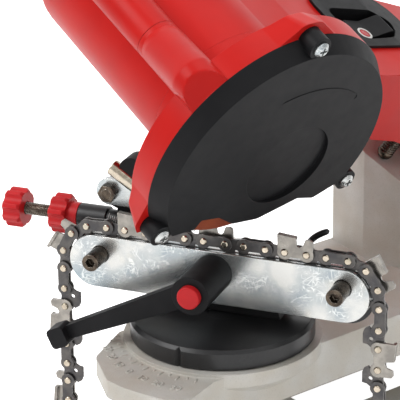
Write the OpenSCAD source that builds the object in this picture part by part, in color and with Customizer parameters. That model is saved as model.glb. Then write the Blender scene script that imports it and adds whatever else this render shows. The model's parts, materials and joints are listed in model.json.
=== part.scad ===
// Bench chain grinder: a motor head with a thin wheel swings down over a turning vise
// that holds a saw chain by its drive links.
// Origin: on the bench under the vise's turning axis. +X right, +Y back, +Z up.
// "Vise" modules are drawn in the vise frame: x along the rails, y back, z above the seat.
// "Head" modules are drawn in the head frame: x along the spindle, y back, z up the wheel.

/* [Stand] */
// Height of the turntable's seat above the bench
seat_h = 62; // [50:1:80]
// Thickness of the foot plate
foot_t = 9; // [6:0.5:12]
// Height of the deck casting
deck_h = 21; // [16:1:26]
// Wall of the castings
casting_wall = 5; // [4:0.5:7]
// Radius of the raised seat under the turntable
seat_r = 45; // [43:0.5:50]
// Spacing of the bench bolts from left to right
bolt_span_x = 72; // [60:1:80]
// Spacing of the bench bolts from front to back
bolt_span_y = 215; // [200:1:230]
// Radius of the bench bolt holes
bench_bolt_r = 3.4; // [2.5:0.1:4.5]
// Width of the column that carries the head
column_w = 53; // [40:1:60]

/* [Vise] */
// Angle of the vise in the stored pose
vise_angle = 30; // [-35:1:35]
// Radius of the turntable
turntable_r = 41.8; // [36:0.2:42]
// Height of the turntable
turntable_h = 9.2; // [7:0.1:12]
// Half distance between the round ends of the rails
rail_half = 58.9; // [50:0.1:70]
// Radius of the rails' round ends
rail_r = 12.5; // [11:0.1:15]
// Height of the rails' centre line above the seat
rail_z = 27.9; // [24:0.1:32]
// Thickness of a rail
rail_t = 2.35; // [2:0.05:3.5]
// Gap between the rails that takes the drive links
rail_gap = 1.5; // [1.4:0.05:1.9]
// Length of the clamp lever
lever_len = 69; // [55:1:90]

/* [Chain] */
// Pitch of one drive link and one outer link together
chain_step = 19.05; // [16:0.05:20]
// Distance between the two rivets of an outer link
outer_link = 10.05; // [9:0.05:11]
// Thickness of a drive link
drive_t = 1.3; // [1.1:0.05:1.5]
// Thickness of a tie strap
strap_t = 1.1; // [1:0.05:1.4]
// Radius of a rivet
rivet_r = 1.4; // [1.2:0.05:2]

/* [Head] */
// Tilt of the spindle from level
head_tilt = 26.7; // [20:0.1:35]
// Radius of the grinding wheel
wheel_r = 52.4; // [50:0.1:53]
// Thickness of the grinding wheel
wheel_t = 3.2; // [3:0.1:4.8]
// Radius of the wheel's bore
wheel_bore_r = 11.1; // [10:0.05:12.7]
// Radius of the motor housing
motor_r = 34.4; // [30:0.1:40]
// Length of the motor housing behind the seam
motor_len = 106.5; // [90:0.5:130]
// Wall of the plastic housings
shell = 3; // [2:0.25:4]
// Radius of the guard round the wheel
guard_r = 60; // [58:0.5:62]
// Radius of the hinge pin
hinge_pin_r = 4; // [3:0.25:5]
// Radius of the depth screw
depth_screw_r = 4; // [3:0.25:4.5]

/* [Fits] */
// Radial clearance of a pin or shaft in its hole
fit = 0.05; // [0.02:0.01:0.08]
// Gap between faces that move past each other
face_gap = 0.3; // [0.2:0.05:0.5]

/* [Hidden] */
$fn = 64;

casting_grey = [0.72, 0.71, 0.69];
satin_black = [0.17, 0.17, 0.18];
plastic_red = [0.8, 0.16, 0.16];
zinc = [0.76, 0.75, 0.72];
steel = [0.62, 0.61, 0.6];
dark_steel = [0.33, 0.3, 0.27];
copper = [0.72, 0.42, 0.25];

// Stand
deck_top = seat_h - 1.5;
deck_bottom = deck_top - deck_h;
seat_lip = seat_h - deck_top;
deck_plan = [
    [-30, -20, 10], [-8, -52, 14], [28, -58, 10], [35.2, -46, 8],
    [35.2, 132, 10], [-55, 132, 6], [-55, 60, 20], [-38, 0, 20]
];
apron_plan = [
    [-34, -32, 4], [-18, -58, 6], [4, -68, 5], [15, -67, 3], [22, -65, 3], [34, -61, 8], [42, -52, 4],
    [30, -20, 2], [-20, -20, 2]
];
foot_plan = [
    [-50, -35, 8], [42, -35, 8], [42, 202, 10], [-80, 202, 10], [-80, 20, 12], [-50, 20, 12]
];
window_plan = [[-24, 50, 6], [14, 50, 6], [14, 130, 6], [-24, 130, 6]];
leg_plan = [[-55, 132, 4], [12, 132, 4], [12, 180, 8], [-55, 180, 8]];
column_x = -28.5;
column_ridge_x = -26;
column_plan = [
    [column_x - column_w / 2, 115, 3], [column_ridge_x, 110, 1], [column_x + column_w / 2, 115, 3],
    [column_x + column_w / 2, 180, 8], [column_x - column_w / 2, 180, 8]
];
column_pocket = [[-49, 122, 3], [-8, 122, 3], [-8, 174, 5], [-49, 174, 5]];
bolt_centre = [-4, 82.5];
pivot_r = 4;
pivot_boss_r = 14;
pivot_head_r = 7;
pivot_head_h = 4;

// Vise
turntable_z = face_gap;
turntable_top = turntable_z + turntable_h;
chain_y = -1.8;
rail_mid = -1.45;
rail_gap_half = rail_gap / 2;
front_face_y = chain_y - rail_gap_half - rail_t;
rear_face_y = chain_y + rail_gap_half + rail_t;
beam_t = 8.7;
beam_y = rear_face_y + beam_t;
beam_r = rail_r;
beam_z = rail_z - 2.7;
rail_bolt_u = rail_half - 1.3;
rail_bolt_z = rail_z + 3.7;
rail_bolt_r = 4;
rail_open = 0.25;
hub_u = -2.5;
hub_z = rail_z + 2.7;
hub_r = 8.8;
hub_y = front_face_y - rail_open - 0.15;
hub_end_y = hub_y - 27.7;
clamp_screw_r = 4;
clamp_screw_end_y = hub_y - 16;
button_r = 5.2;
button_travel = 3;
button_y = hub_end_y - 3;
button_len = 10;
lever_angle = 205;
lever_y = -23.5;
lever_bar_t = 5.5;
handle_y = -24.5;
handle_size = [8.5, 9, 9.5];
guide_rod = [36, 43.5];
guide_rod_r = 1.8;

// Chain stop
stop_y = 16;
stop_z = rail_z + 12.6;
stop_screw_r = 3;
stop_knob_r = 9.3;
stop_knob_u = -113.2;
stop_knob_t = 9;
lock_knob_len = 13.4;
sleeve_r = 6;
sleeve_u = [-76, -62];
carriage_u = [-67, -45];
carriage_r = 4.9;
carriage_travel = 5;
sleeve_top = stop_z + sleeve_r;
arm_pivot = [-58.8, 56.6];
arm_y = [10, 13];
arm_bolt_r = 2.5;
pin_r = 3.75;
pin_ends = [[-55.5, 70.7], [-36, 58]];

// Chain
chain_z = rail_z + rail_r + 4;
chain_bend_r = chain_z - rail_z;
chain_start = -63.25;
first_link = -5;
last_link = 11;
link_end_r = 3.35;
drive_end_r = 3;
strap_y = drive_t / 2 + 0.1;

// The stop's tip meets the back of the fourth cutter.
pawl_u = chain_start + 3 * chain_step - 3.4 + rail_mid - 0.35;
// The tip's foot stands back, so that it clears the cutter as the arm lifts.
pawl_relief = 1;

// Head
hub_height = seat_h + 100;
head_x = 25.6;
seam_x = -28.5;
guard_back = -7.2;
guard_edge = 5;
guard_wall = 2;
cone_end = -12;
guard_cut = -34;
cover_face = guard_edge + 8.3;
cover_face_r = 55.6;
cover_t = 2;
dish_r = 21.3;
dish_depth = 1.2;
boss_angles = [90, 210, 330];
boss_r = 5.2;
boss_back = 2;
shaft_r = 5;
shaft_rear_r = 4;
flange_r = 20;
flange_t = 3;
nut_t = 4;
shaft_front = wheel_t / 2 + flange_t + nut_t + 0.2;
front_bearing_r = 13;
front_bearing_t = 8;
rear_bearing_r = 11;
rear_bearing_t = 7;
motor_end = seam_x - motor_len;
dome_edge = 18;
dome_depth = 20;
rear_bearing_x = motor_end + 8;
motor_bore_r = motor_r - shell;
stator_r = motor_bore_r - 0.2;
stator_x = [-88, -44];
rotor_r = 16;
commutator_r = 10;
commutator_x = [-108, -96];
tower = [-32.6, 26.4];
tower_r = 9.7;
tower_end = -112;
arm_x = [-64, -4];
arm_profile = [
    [10, -30, 0], [50, -30, 8], [73, -22, 6], [81, -29, 3], [98, -35, 4], [107, -40, 6],
    [125, -52, 3], [131, -55, 2], [136, -35.2, 3], [167, -35.2, 2],
    [167, -30, 5], [150, -15, 12], [100, 6, 10], [72, 12.5, 0], [40, 24, 12], [10, 31, 0]
];
hinge = [152, -50];
hinge_r = 14;
gland_r = 6.8;
barrel_r = 13.5;
near_ear_x = [-8, 0];
far_ear_x = [-50, -42];
column_top = -64.6;
tongue_x = [far_ear_x[1] + face_gap, near_ear_x[0] - face_gap];
tongue_profile = [
    [128, -53, 0], [131, -56, 2], [hinge.x - 2, hinge.y - barrel_r, 0], [hinge.x + 6, hinge.y, 0],
    [hinge.x + 10, -30, 0], [128, -30, 0]
];
depth_x = -19;
depth_foot = [117, column_top + depth_screw_r + 0.05];
depth_lean = 23;
arm_crossing = 54.8;
depth_nut_t = 5;
depth_knob_z = arm_crossing + depth_nut_t + 1.5;
depth_rod_len = depth_knob_z + 17;
bezel_plan = [[-64, 66, 12], [-23, 66, 8], [-23, 122, 8], [-64, 122, 16]];
bezel_top = [[60, 18.4], [72, 14.1], [100, 7.7], [128, -4]];
well_plan = [[-51, 72.5, 4], [-34, 72.5, 8], [-28, 83, 8], [-29, 100, 6], [-35, 107, 6], [-43, 111, 4], [-49, 101, 5]];
well_floor = -8;
bezel_wall = 1.5;
rocker_pivot = [92, 1];
rocker_w = 12;
rocker_x = -39.8;
rocker_pin_half = 10.6;
housing_screw_sites = [[58, -8], [116, -28], [146, -24]];
housing_screw_r = 2;
screw_head_r = 3.8;

// ---- shapes ----

function unit(v) = v / norm(v);

// Points of the round that replaces corner p between its neighbours a and b.
function corner_arc(a, p, b, r, n) =
    r == 0 ? [p] :
    let (
        u = unit(a - p),
        v = unit(b - p),
        half = acos(u * v) / 2,
        c = p + unit(u + v) * r / sin(half),
        s = p + u * r / tan(half) - c,
        e = p + v * r / tan(half) - c,
        start = atan2(s.y, s.x),
        turn = atan2(s.x * e.y - s.y * e.x, s * e)
    )
    [for (i = [0:n]) c + r * [cos(start + turn * i / n), sin(start + turn * i / n)]];

// Outline of a polygon given as [x, y, corner radius].
function outline(pts, n = 4) = [
    for (i = [0:len(pts) - 1])
        let (
            a = pts[(i + len(pts) - 1) % len(pts)],
            p = pts[i],
            b = pts[(i + 1) % len(pts)]
        )
        each corner_arc([a.x, a.y], [p.x, p.y], [b.x, b.y], p.z, n)
];

// The same polygon, drawn counter-clockwise, moved inwards by d.
function inset(pts, d) = [
    for (i = [0:len(pts) - 1])
        let (
            a = pts[(i + len(pts) - 1) % len(pts)],
            p = pts[i],
            b = pts[(i + 1) % len(pts)],
            u = unit([p.x - a.x, p.y - a.y]),
            v = unit([b.x - p.x, b.y - p.y]),
            m = [-u.y - v.y, u.x + v.x] / (1 + u * v)
        )
        [p.x + m.x * d, p.y + m.y * d, p.z == 0 ? 0 : max(p.z - d, 0.6)]
];

module plate(pts, h) linear_extrude(h) polygon(outline(pts));

// Cylinders along x and along y.
module xcyl(r, x0, x1) translate([x0, 0, 0]) rotate([0, 90, 0]) cylinder(r = r, h = x1 - x0);
module xcone(r0, r1, x0, x1) translate([x0, 0, 0]) rotate([0, 90, 0]) cylinder(r1 = r0, r2 = r1, h = x1 - x0);
module ycyl(r, y0, y1) translate([0, y1, 0]) rotate([90, 0, 0]) cylinder(r = r, h = y1 - y0);

// Profiles given in (x, z) and drawn from y0 to y1, and in (y, z) from x0 to x1.
module yplate(pts, y0, y1) translate([0, y1, 0]) rotate([90, 0, 0]) plate(pts, y1 - y0);
module xplate(pts, x0, x1) translate([x0, 0, 0]) rotate([90, 0, 90]) plate(pts, x1 - x0);

// Flat bar with round ends, in (x, z), from y0 to y1.
module stadium(half, r, y0, y1) {
    for (side = [-1, 1]) translate([side * half, 0, 0]) ycyl(r, y0, y1);
    translate([-half, y0, -r]) cube([2 * half, y1 - y0, 2 * r]);
}

// Hand knob with round lobes, along z.
module lobed_knob(r, h, lobes) {
    scallop_r = r * 0.34;
    difference() {
        rotate_extrude() polygon([[0, 0], [r - 0.8, 0], [r, 0.8], [r, h - 1.2], [r - 1.2, h], [0, h]]);
        for (i = [0:lobes - 1]) rotate([0, 0, i * 360 / lobes])
            translate([r + scallop_r * 0.45, 0, -1]) cylinder(r = scallop_r, h = h + 2);
    }
}

module hex_nut(across, h) cylinder(r = across / sqrt(3), h = h, $fn = 6);

// Screw along z: shank below the head's seat at z = 0, head with a socket or a cross above.
module socket_screw(r, len, head_r, head_h) {
    translate([0, 0, -len]) cylinder(r = r, h = len);
    difference() {
        cylinder(r = head_r, h = head_h);
        translate([0, 0, head_h * 0.4]) hex_nut(head_r * 0.95, head_h);
    }
}

module cross_screw(r, len, head_r, head_h) {
    slot = head_r * 0.28;
    translate([0, 0, -len]) cylinder(r = r, h = len);
    difference() {
        rotate_extrude() polygon([[0, 0], [head_r, 0], [head_r, head_h * 0.4], [head_r * 0.6, head_h], [0, head_h]]);
        for (turn = [0, 90]) rotate([0, 0, turn])
            translate([-head_r * 0.6, -slot / 2, head_h * 0.35]) cube([head_r * 1.2, slot, head_h]);
    }
}

module vise_frame() rotate([0, 0, vise_angle]) translate([0, 0, seat_h]) children();
module head_frame() translate([head_x, 0, hub_height]) rotate([0, head_tilt, 0]) children();

// ---- stand ----

// Keeps what lies under the slanted plane of the column's top.
module under_head(level) intersection() {
    children();
    head_frame() translate([-150, 60, level - 300]) cube([300, 200, 300]);
}

module column_body() {
    under_head(column_top) translate([0, 0, deck_bottom]) plate(column_plan, 120);
    head_frame() for (ear = [near_ear_x, far_ear_x]) {
        translate([0, hinge.x, hinge.y]) xcyl(hinge_r, ear[0], ear[1]);
        translate([ear[0], hinge.x - hinge_r, column_top - 4])
            cube([ear[1] - ear[0], 2 * hinge_r, hinge.y - column_top + 4]);
    }
}

module deck_pocket() difference() {
    plate(inset(deck_plan, casting_wall), deck_h - casting_wall - 1);
    cylinder(r = pivot_boss_r, h = deck_h);
    for (y = [28, 80]) translate([-80, y, 0]) cube([160, 4, deck_h]);
}

module stand() color(casting_grey) difference() {
    union() {
        plate(foot_plan, foot_t);
        translate([0, 0, foot_t - 1]) plate(leg_plan, deck_top - foot_t + 1);
        translate([0, 0, deck_bottom]) plate(deck_plan, deck_h);
        translate([0, 0, deck_top - 8.5]) plate(apron_plan, 8.5);
        translate([0, 0, deck_top - 5]) cylinder(r = seat_r, h = seat_lip + 5);
        translate([0, 0, deck_top - 12]) cylinder(r1 = seat_r - 9, r2 = seat_r, h = 7);
        column_body();
        for (sx = [-1, 1], sy = [-1, 1])
            translate([bolt_centre.x + sx * bolt_span_x / 2, bolt_centre.y + sy * bolt_span_y / 2, 0])
                cylinder(r = 8, h = foot_t + 2);
    }
    translate([0, 0, -1]) plate(window_plan, foot_t + 2);
    translate([0, 0, deck_bottom - 0.01]) deck_pocket();
    under_head(column_top - 8) translate([0, 0, -1]) plate(column_pocket, 130);
    translate([0, 0, deck_bottom - 1]) cylinder(r = pivot_r + fit, h = deck_h + 10);
    for (sx = [-1, 1], sy = [-1, 1])
        translate([bolt_centre.x + sx * bolt_span_x / 2, bolt_centre.y + sy * bolt_span_y / 2, -1])
            cylinder(r = bench_bolt_r, h = foot_t + 4);
    head_frame() translate([0, hinge.x, hinge.y]) xcyl(hinge_pin_r + fit, far_ear_x[0] - 1, near_ear_x[1] + 1);
}

module hinge_pin() color(dark_steel) head_frame() translate([near_ear_x[1], hinge.x, hinge.y]) rotate([0, 90, 0])
    socket_screw(hinge_pin_r, near_ear_x[1] - far_ear_x[0] + 7, 7, 5);

module hinge_nut() color(dark_steel) head_frame() translate([far_ear_x[0] - 6, hinge.x, hinge.y]) rotate([0, 90, 0])
    difference() {
        hex_nut(13, 6);
        translate([0, 0, -1]) cylinder(r = hinge_pin_r + fit, h = 8);
    }

// ---- turntable ----

module vise_screw_sites() for (u = [-13, 13]) translate([u, 14, 0]) children();

module turntable() color(satin_black) vise_frame() difference() {
    translate([0, 0, turntable_z]) rotate_extrude() polygon([
        [0, 0], [turntable_r - 0.6, 0], [turntable_r, 0.6], [turntable_r, turntable_h - 1.5],
        [turntable_r - 1.5, turntable_h], [0, turntable_h]
    ]);
    rotate([0, 0, -97]) translate([turntable_r, 0, -1]) rotate([0, 0, 45])
        translate([-1, -1, 0]) cube([2, 2, turntable_h + 3]);
    translate([0, 0, -1]) cylinder(r = pivot_r + fit, h = turntable_h + 4);
    translate([0, 0, turntable_top - pivot_head_h - 0.2]) cylinder(r = pivot_head_r + fit, h = turntable_h);
    vise_screw_sites() {
        translate([0, 0, -1]) cylinder(r = 2.6, h = turntable_h + 4);
        translate([0, 0, -1]) cylinder(r = 4.6, h = turntable_z + 6);
    }
}

module pivot_bolt() color(zinc) vise_frame() {
    translate([0, 0, turntable_top - pivot_head_h - 0.2]) cylinder(r = pivot_head_r, h = pivot_head_h);
    translate([0, 0, -deck_h - 18]) cylinder(r = pivot_r, h = deck_h + 18 + turntable_top - pivot_head_h);
}

module angle_lock_knob() color(satin_black) vise_frame() translate([0, 0, -seat_h + deck_bottom - face_gap]) mirror([0, 0, 1])
    difference() {
        union() {
            lobed_knob(17, 13, 6);
            cylinder(r = 8, h = 15);
        }
        translate([0, 0, -1]) cylinder(r = pivot_r + fit, h = 20);
    }

module vise_screws() color(dark_steel) vise_frame() vise_screw_sites()
    translate([0, 0, turntable_z + 5]) mirror([0, 0, 1]) socket_screw(2.5, 18, 4.4, 4);

// ---- vise ----

module clamp_axis() translate([hub_u, 0, hub_z]) children();
module rail_bolt_sites() for (side = [-1, 1]) translate([side * rail_bolt_u, 0, rail_bolt_z]) children();
module stop_axis() translate([0, stop_y, stop_z]) children();

module vise_body() color(satin_black) vise_frame() difference() {
    union() {
        translate([rail_mid + 1.5, 0, beam_z]) stadium(rail_half - 1, beam_r, rear_face_y, beam_y);
        yplate([[-27, turntable_top, 0], [27, turntable_top, 0], [20, 34, 4], [-20, 34, 4]], rear_face_y, 24);
        yplate([[-72, 26, 3], [-62, 26, 0], [-62, stop_z, 0], [-72, stop_z, 0]], rear_face_y + 3, stop_y);
        stop_axis() xcyl(sleeve_r, sleeve_u[0], sleeve_u[1]);
    }
    rail_bolt_sites() ycyl(rail_bolt_r + fit, -10, beam_y + 1);
    clamp_axis() ycyl(clamp_screw_r + fit, -10, 30);
    clamp_axis() ycyl(8, 18, 30);
    stop_axis() {
        xcyl(stop_screw_r + fit, sleeve_u[0] - 1, sleeve_u[1] + 1);
        xcyl(carriage_r + fit, carriage_u[0] - carriage_travel - face_gap, sleeve_u[1] + 1);
    }
    vise_screw_sites() cylinder(r = 2.5 + fit, h = turntable_top + 14);
}

module rail(y0) difference() {
    translate([rail_mid, 0, rail_z]) stadium(rail_half, rail_r, y0, y0 + rail_t);
    rail_bolt_sites() ycyl(rail_bolt_r + fit, y0 - 1, y0 + rail_t + 1);
    clamp_axis() ycyl(clamp_screw_r + fit, y0 - 1, y0 + rail_t + 1);
}

module rear_rail() color(zinc) vise_frame() rail(rear_face_y - rail_t);
module front_rail() color(zinc) vise_frame() rail(front_face_y);

module rail_bolts() color(dark_steel) vise_frame() rail_bolt_sites() difference() {
    ycyl(rail_bolt_r, front_face_y - 11.2, beam_y);
    translate([0, front_face_y - 8, 0]) rotate([90, 0, 0]) hex_nut(4, 6);
}

module clamp_screw() color(zinc) vise_frame() clamp_axis() {
    ycyl(clamp_screw_r, clamp_screw_end_y, 18);
    translate([0, 23, 0]) rotate([90, 0, 0]) hex_nut(13, 4.9);
}

module clamp_lever() color(satin_black) vise_frame() clamp_axis() difference() {
    union() {
        ycyl(hub_r, hub_end_y, hub_y);
        rotate([0, -lever_angle, 0]) {
            yplate([[0, -5.6, 0], [lever_len, -3.1, 0], [lever_len, 3.1, 0], [0, 5.6, 0]],
                lever_y - lever_bar_t, lever_y);
            translate([lever_len - 2, handle_y - handle_size.y, 0])
                yplate([[0, -handle_size.z / 2, 2], [handle_size.x, -handle_size.z / 2, 2],
                    [handle_size.x, handle_size.z / 2, 2], [0, handle_size.z / 2, 2]], 0, handle_size.y);
        }
    }
    ycyl(clamp_screw_r + fit, hub_end_y - 1, hub_y + 1);
    ycyl(button_r + fit, hub_end_y - 1, button_y + button_len + button_travel);
}

module lever_button() color(plastic_red) vise_frame() clamp_axis()
    ycyl(button_r, button_y, button_y + button_len - 0.5);

module chain_guide_rod() color(dark_steel) vise_frame() {
    translate([guide_rod.x, beam_y + guide_rod_r, 30]) cylinder(r = guide_rod_r, h = guide_rod.y - 30);
    translate([guide_rod.x, beam_y + guide_rod_r, guide_rod.y]) sphere(r = guide_rod_r);
    translate([guide_rod.x, beam_y + guide_rod_r, guide_rod.y]) rotate([0, 69, 0]) cylinder(r = guide_rod_r, h = 20);
}

// ---- chain stop ----

module stop_screw() color(steel) vise_frame() stop_axis() xcyl(stop_screw_r, stop_knob_u + 2, carriage_u[1] - 2);

module stop_adjust_knob() color(plastic_red) vise_frame() stop_axis() translate([stop_knob_u, 0, 0]) rotate([0, 90, 0])
    difference() {
        lobed_knob(stop_knob_r, stop_knob_t, 8);
        translate([0, 0, 2]) cylinder(r = stop_screw_r + fit, h = 12);
    }

module stop_lock_knob() color(plastic_red) vise_frame() stop_axis() translate([sleeve_u[0] - lock_knob_len - face_gap, 0, 0])
    rotate([0, 90, 0]) difference() {
        union() {
            lobed_knob(stop_knob_r, 8.5, 8);
            cylinder(r = 6, h = lock_knob_len);
        }
        translate([0, 0, -1]) cylinder(r = stop_screw_r + fit, h = 22);
    }

module stop_carriage() color(satin_black) vise_frame() difference() {
    union() {
        stop_axis() xcyl(carriage_r, carriage_u[0], carriage_u[1]);
        yplate([[sleeve_u[1] + carriage_travel + 0.5, stop_z, 0], [carriage_u[1] - 3, stop_z, 0],
            [carriage_u[1] - 5, 50, 3], [arm_pivot.x + 6, arm_pivot.y + 1, 3], [arm_pivot.x + 4, arm_pivot.y + 5, 3],
            [arm_pivot.x - 5, arm_pivot.y + 5, 4], [arm_pivot.x - 5, arm_pivot.y - 6, 3],
            [sleeve_u[1] + carriage_travel + 0.5, sleeve_top + 1, 0]], arm_y[1] + face_gap, 19);
    }
    stop_axis() xcyl(stop_screw_r + fit, carriage_u[0] - 1, carriage_u[1] + 1);
    translate([arm_pivot.x, 0, arm_pivot.y]) ycyl(arm_bolt_r + fit, 5, 30);
}

module stop_arm_bolt() color(dark_steel) vise_frame() translate([arm_pivot.x, 0, arm_pivot.y]) {
    ycyl(arm_bolt_r, arm_y[0] - 4, 21);
    translate([0, 22.5, 0]) rotate([90, 0, 0]) hex_nut(8, 3.4);
    translate([0, arm_y[0] - face_gap, 0]) rotate([90, 0, 0]) hex_nut(7.6, 3.5);
}

module stop_arm() color(zinc) vise_frame() difference() {
    union() {
        yplate([[arm_pivot.x, 50.2, 0], [-46, 50.2, 2], [pawl_u - pawl_relief, 48, 0.8], [pawl_u, 52.5, 1],
            [-22, 57, 4], [-40, 62, 5], [arm_pivot.x, 63, 0]], arm_y[0], arm_y[1]);
        translate([arm_pivot.x, 0, arm_pivot.y]) ycyl(6.4, arm_y[0], arm_y[1]);
        yplate([[pawl_u - 4.5, 48.3, 0], [pawl_u - pawl_relief, 48, 0], [pawl_u, 52.5, 1], [pawl_u - 4.5, 53.5, 1]], -2, arm_y[1]);
    }
    translate([arm_pivot.x, 0, arm_pivot.y]) ycyl(arm_bolt_r + fit, 5, 30);
}

// Runs a cylinder along the stop pin's line, past its ends by extra.
module pin_line(r, extra) {
    rise = pin_ends[1] - pin_ends[0];
    translate([pin_ends[0].x, arm_y[0] - pin_r - 0.05, pin_ends[0].y])
        rotate([0, 90 - atan2(rise.y, rise.x), 0]) translate([0, 0, -extra]) cylinder(r = r, h = norm(rise) + 2 * extra);
}

module stop_pin() color(steel) vise_frame() pin_line(pin_r, 0);

module stop_grip() color(satin_black) vise_frame() difference() {
    translate([-45, 0, 70.5]) ycyl(6, 4, 14);
    pin_line(pin_r + fit, 5);
}

// ---- chain ----

// Place of the chain line at arc length s from the rails' middle: [x, z], level on top, down at both ends.
function chain_point(s) =
    let (
        side = sign(s),
        over = abs(s) - rail_half,
        quarter = chain_bend_r * PI / 2,
        turn = over / chain_bend_r * 180 / PI
    )
    [rail_mid, 0] + (
        over <= 0 ? [s, chain_z] :
        over <= quarter ? [side * (rail_half + chain_bend_r * sin(turn)), rail_z + chain_bend_r * cos(turn)] :
        [side * (rail_half + chain_bend_r), rail_z - (over - quarter)]
    );

// Draws a link between two places of the chain line: x from rivet to rivet, y outwards,
// extruded from y0 to y1 across the chain.
module link(s0, s1, y0, y1) {
    a = chain_point(s0);
    b = chain_point(s1);
    translate([a.x, chain_y + y1, a.y]) rotate([0, -atan2(b.y - a.y, b.x - a.x), 0]) rotate([90, 0, 0])
        linear_extrude(y1 - y0) children();
}

module rivet_holes(len) for (x = [0, len]) translate([x, 0]) circle(r = rivet_r + fit, $fn = 20);

module drive_shape(len) difference() {
    union() {
        for (x = [0, len]) translate([x, 0]) circle(r = drive_end_r, $fn = 24);
        polygon([
            [-0.5, 2.95], [len / 2, 2.2], [len + 0.5, 2.95], [len + 0.5, -2.95], [len - 1.2, -5.2], [len - 1.6, -7.4],
            [2.4, -7.4], [0.4, -6.6], [-0.8, -4.6], [0.3, -3.6], [-0.5, -2.95]
        ]);
    }
    rivet_holes(len);
    translate([len / 2 + 0.6, -3.6]) circle(r = 1, $fn = 16);
}

module strap_shape(len) difference() {
    union() {
        for (x = [0, len]) translate([x, 0]) circle(r = link_end_r, $fn = 24);
        translate([0, -2]) square([len, 5]);
    }
    rivet_holes(len);
}

module cutter_side_shape(len) difference() {
    union() {
        for (x = [0, len]) translate([x, 0]) circle(r = link_end_r, $fn = 24);
        polygon([
            [0, -2], [len, -2], [len + 3.1, 0], [len + 2.9, 6.4], [len + 1.6, 7.3], [len - 0.6, 6.9],
            [len - 1.6, 4], [len - 3, 3.1], [len - 4.4, 3.6], [len - 5, 7.4], [-3.4, 8.2], [-3.2, 0]
        ]);
    }
    rivet_holes(len);
}

module link_rows(odd) for (k = [first_link:last_link]) if (abs(k) % 2 == odd) let (s0 = chain_start + chain_step * k) {
    $k = k;
    $s0 = s0;
    $s1 = s0 + outer_link;
    $len = norm(chain_point(s0 + outer_link) - chain_point(s0));
    // near side for every second cutter, far side for the others
    $side = (k + 8) % 4 == 1 ? -1 : 1;
    children();
}

module chain_drive_links() color(steel) vise_frame()
    for (k = [first_link:last_link]) let (s0 = chain_start + chain_step * k + outer_link, s1 = chain_start + chain_step * (k + 1))
        link(s0, s1, -drive_t / 2, drive_t / 2) drive_shape(norm(chain_point(s1) - chain_point(s0)));

module strap_on(side) {
    y = side > 0 ? strap_y : -strap_y - strap_t;
    link($s0, $s1, y, y + strap_t) strap_shape($len);
}

module chain_tie_straps() color(steel) vise_frame() {
    link_rows(0) {
        strap_on(-1);
        strap_on(1);
    }
    link_rows(1) strap_on(-$side);
}

// The cutter's side plate and the top plate that bends over the chain from it.
module chain_cutters() color(zinc) vise_frame() link_rows(1) {
    side_y = $side > 0 ? strap_y : -strap_y - strap_t;
    top_y = $side > 0 ? -0.9 : -strap_y - strap_t;
    link($s0, $s1, side_y, side_y + strap_t) cutter_side_shape($len);
    link($s0, $s1, top_y, top_y + strap_y + strap_t + 0.9)
        polygon([[-3.4, 6.9], [$len - 5, 6.1], [$len - 4.9, 7.4], [-3.4, 8.2]]);
}

module chain_rivets() color(zinc) vise_frame() for (k = [first_link:last_link], end = [0, outer_link])
    let (p = chain_point(chain_start + chain_step * k + end)) translate([p.x, chain_y, p.y]) {
        ycyl(rivet_r, -2.5, 2.5, $fn = 20);
        for (turn = [0, 180]) rotate([0, 0, turn]) translate([0, 1.9, 0]) rotate([-90, 0, 0])
            cylinder(r1 = rivet_r + 0.45, r2 = rivet_r - 0.1, h = 0.75, $fn = 20);
    }

// ---- head housings ----

module arm(x0, x1) {
    xplate(arm_profile, x0, x1);
    xplate(tongue_profile, max(x0, tongue_x[0]), min(x1, tongue_x[1]));
    translate([0, hinge.x, hinge.y]) xcyl(barrel_r, max(x0, tongue_x[0]), min(x1, tongue_x[1]));
}

module tower_place() translate([0, tower.x, tower.y]) children();
module depth_axis() translate([depth_x, depth_foot.x, depth_foot.y]) rotate([-depth_lean, 0, 0]) children();
// The guard's rim swells round each cover screw.
module rim_swells() for (angle = boss_angles) rotate([angle - 90, 0, 0])
    xplate([[-19, 54, 0], [19, 54, 0], [4.5, guard_r + boss_r + 2.2, 5], [-4.5, guard_r + boss_r + 2.2, 5]], guard_back + 0.4, guard_edge - 0.2);
module cover_bosses() for (angle = boss_angles)
    translate([0, guard_r * cos(angle), guard_r * sin(angle)]) children();

// Prism of the switch well grown by d, from the height z0 up.
module well_prism(d, z0) translate([0, 0, z0]) plate(inset(well_plan, -d), 40);

module front_housing() color(plastic_red) head_frame() difference() {
    union() {
        xcyl(guard_r, guard_back, guard_edge);
        xcone(motor_r + 4, guard_r - 8, cone_end, guard_back);
        rim_swells();
        xcyl(motor_r, seam_x, guard_back);
        tower_place() xcyl(tower_r, -44, guard_back);
        arm(seam_x, arm_x[1]);
    }
    xcyl(guard_r - guard_wall, guard_back + guard_wall, guard_edge + 20);
    translate([guard_back - 0.01, -80, guard_cut - 60]) cube([40, 160, 60]);
    difference() {
        xcyl(motor_bore_r, seam_x - 1, guard_back - 2.5);
        xcyl(front_bearing_r + 4, guard_back - front_bearing_t - 1, guard_back);
    }
    xcyl(front_bearing_r + fit, seam_x - 1, guard_back - 0.5);
    xcyl(front_bearing_r - 5, seam_x - 1, 10);
    cover_bosses() {
        xcyl(boss_r + face_gap, boss_back, guard_edge + 10);
        xcyl(2 + fit, guard_back + 2, 20);
    }
    tower_place() xcyl(tower_r - shell, -45, guard_back - shell);
    xcyl(motor_r + 0.1, -60, seam_x);
    hinge_cuts();
    arm_fittings();
}

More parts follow.
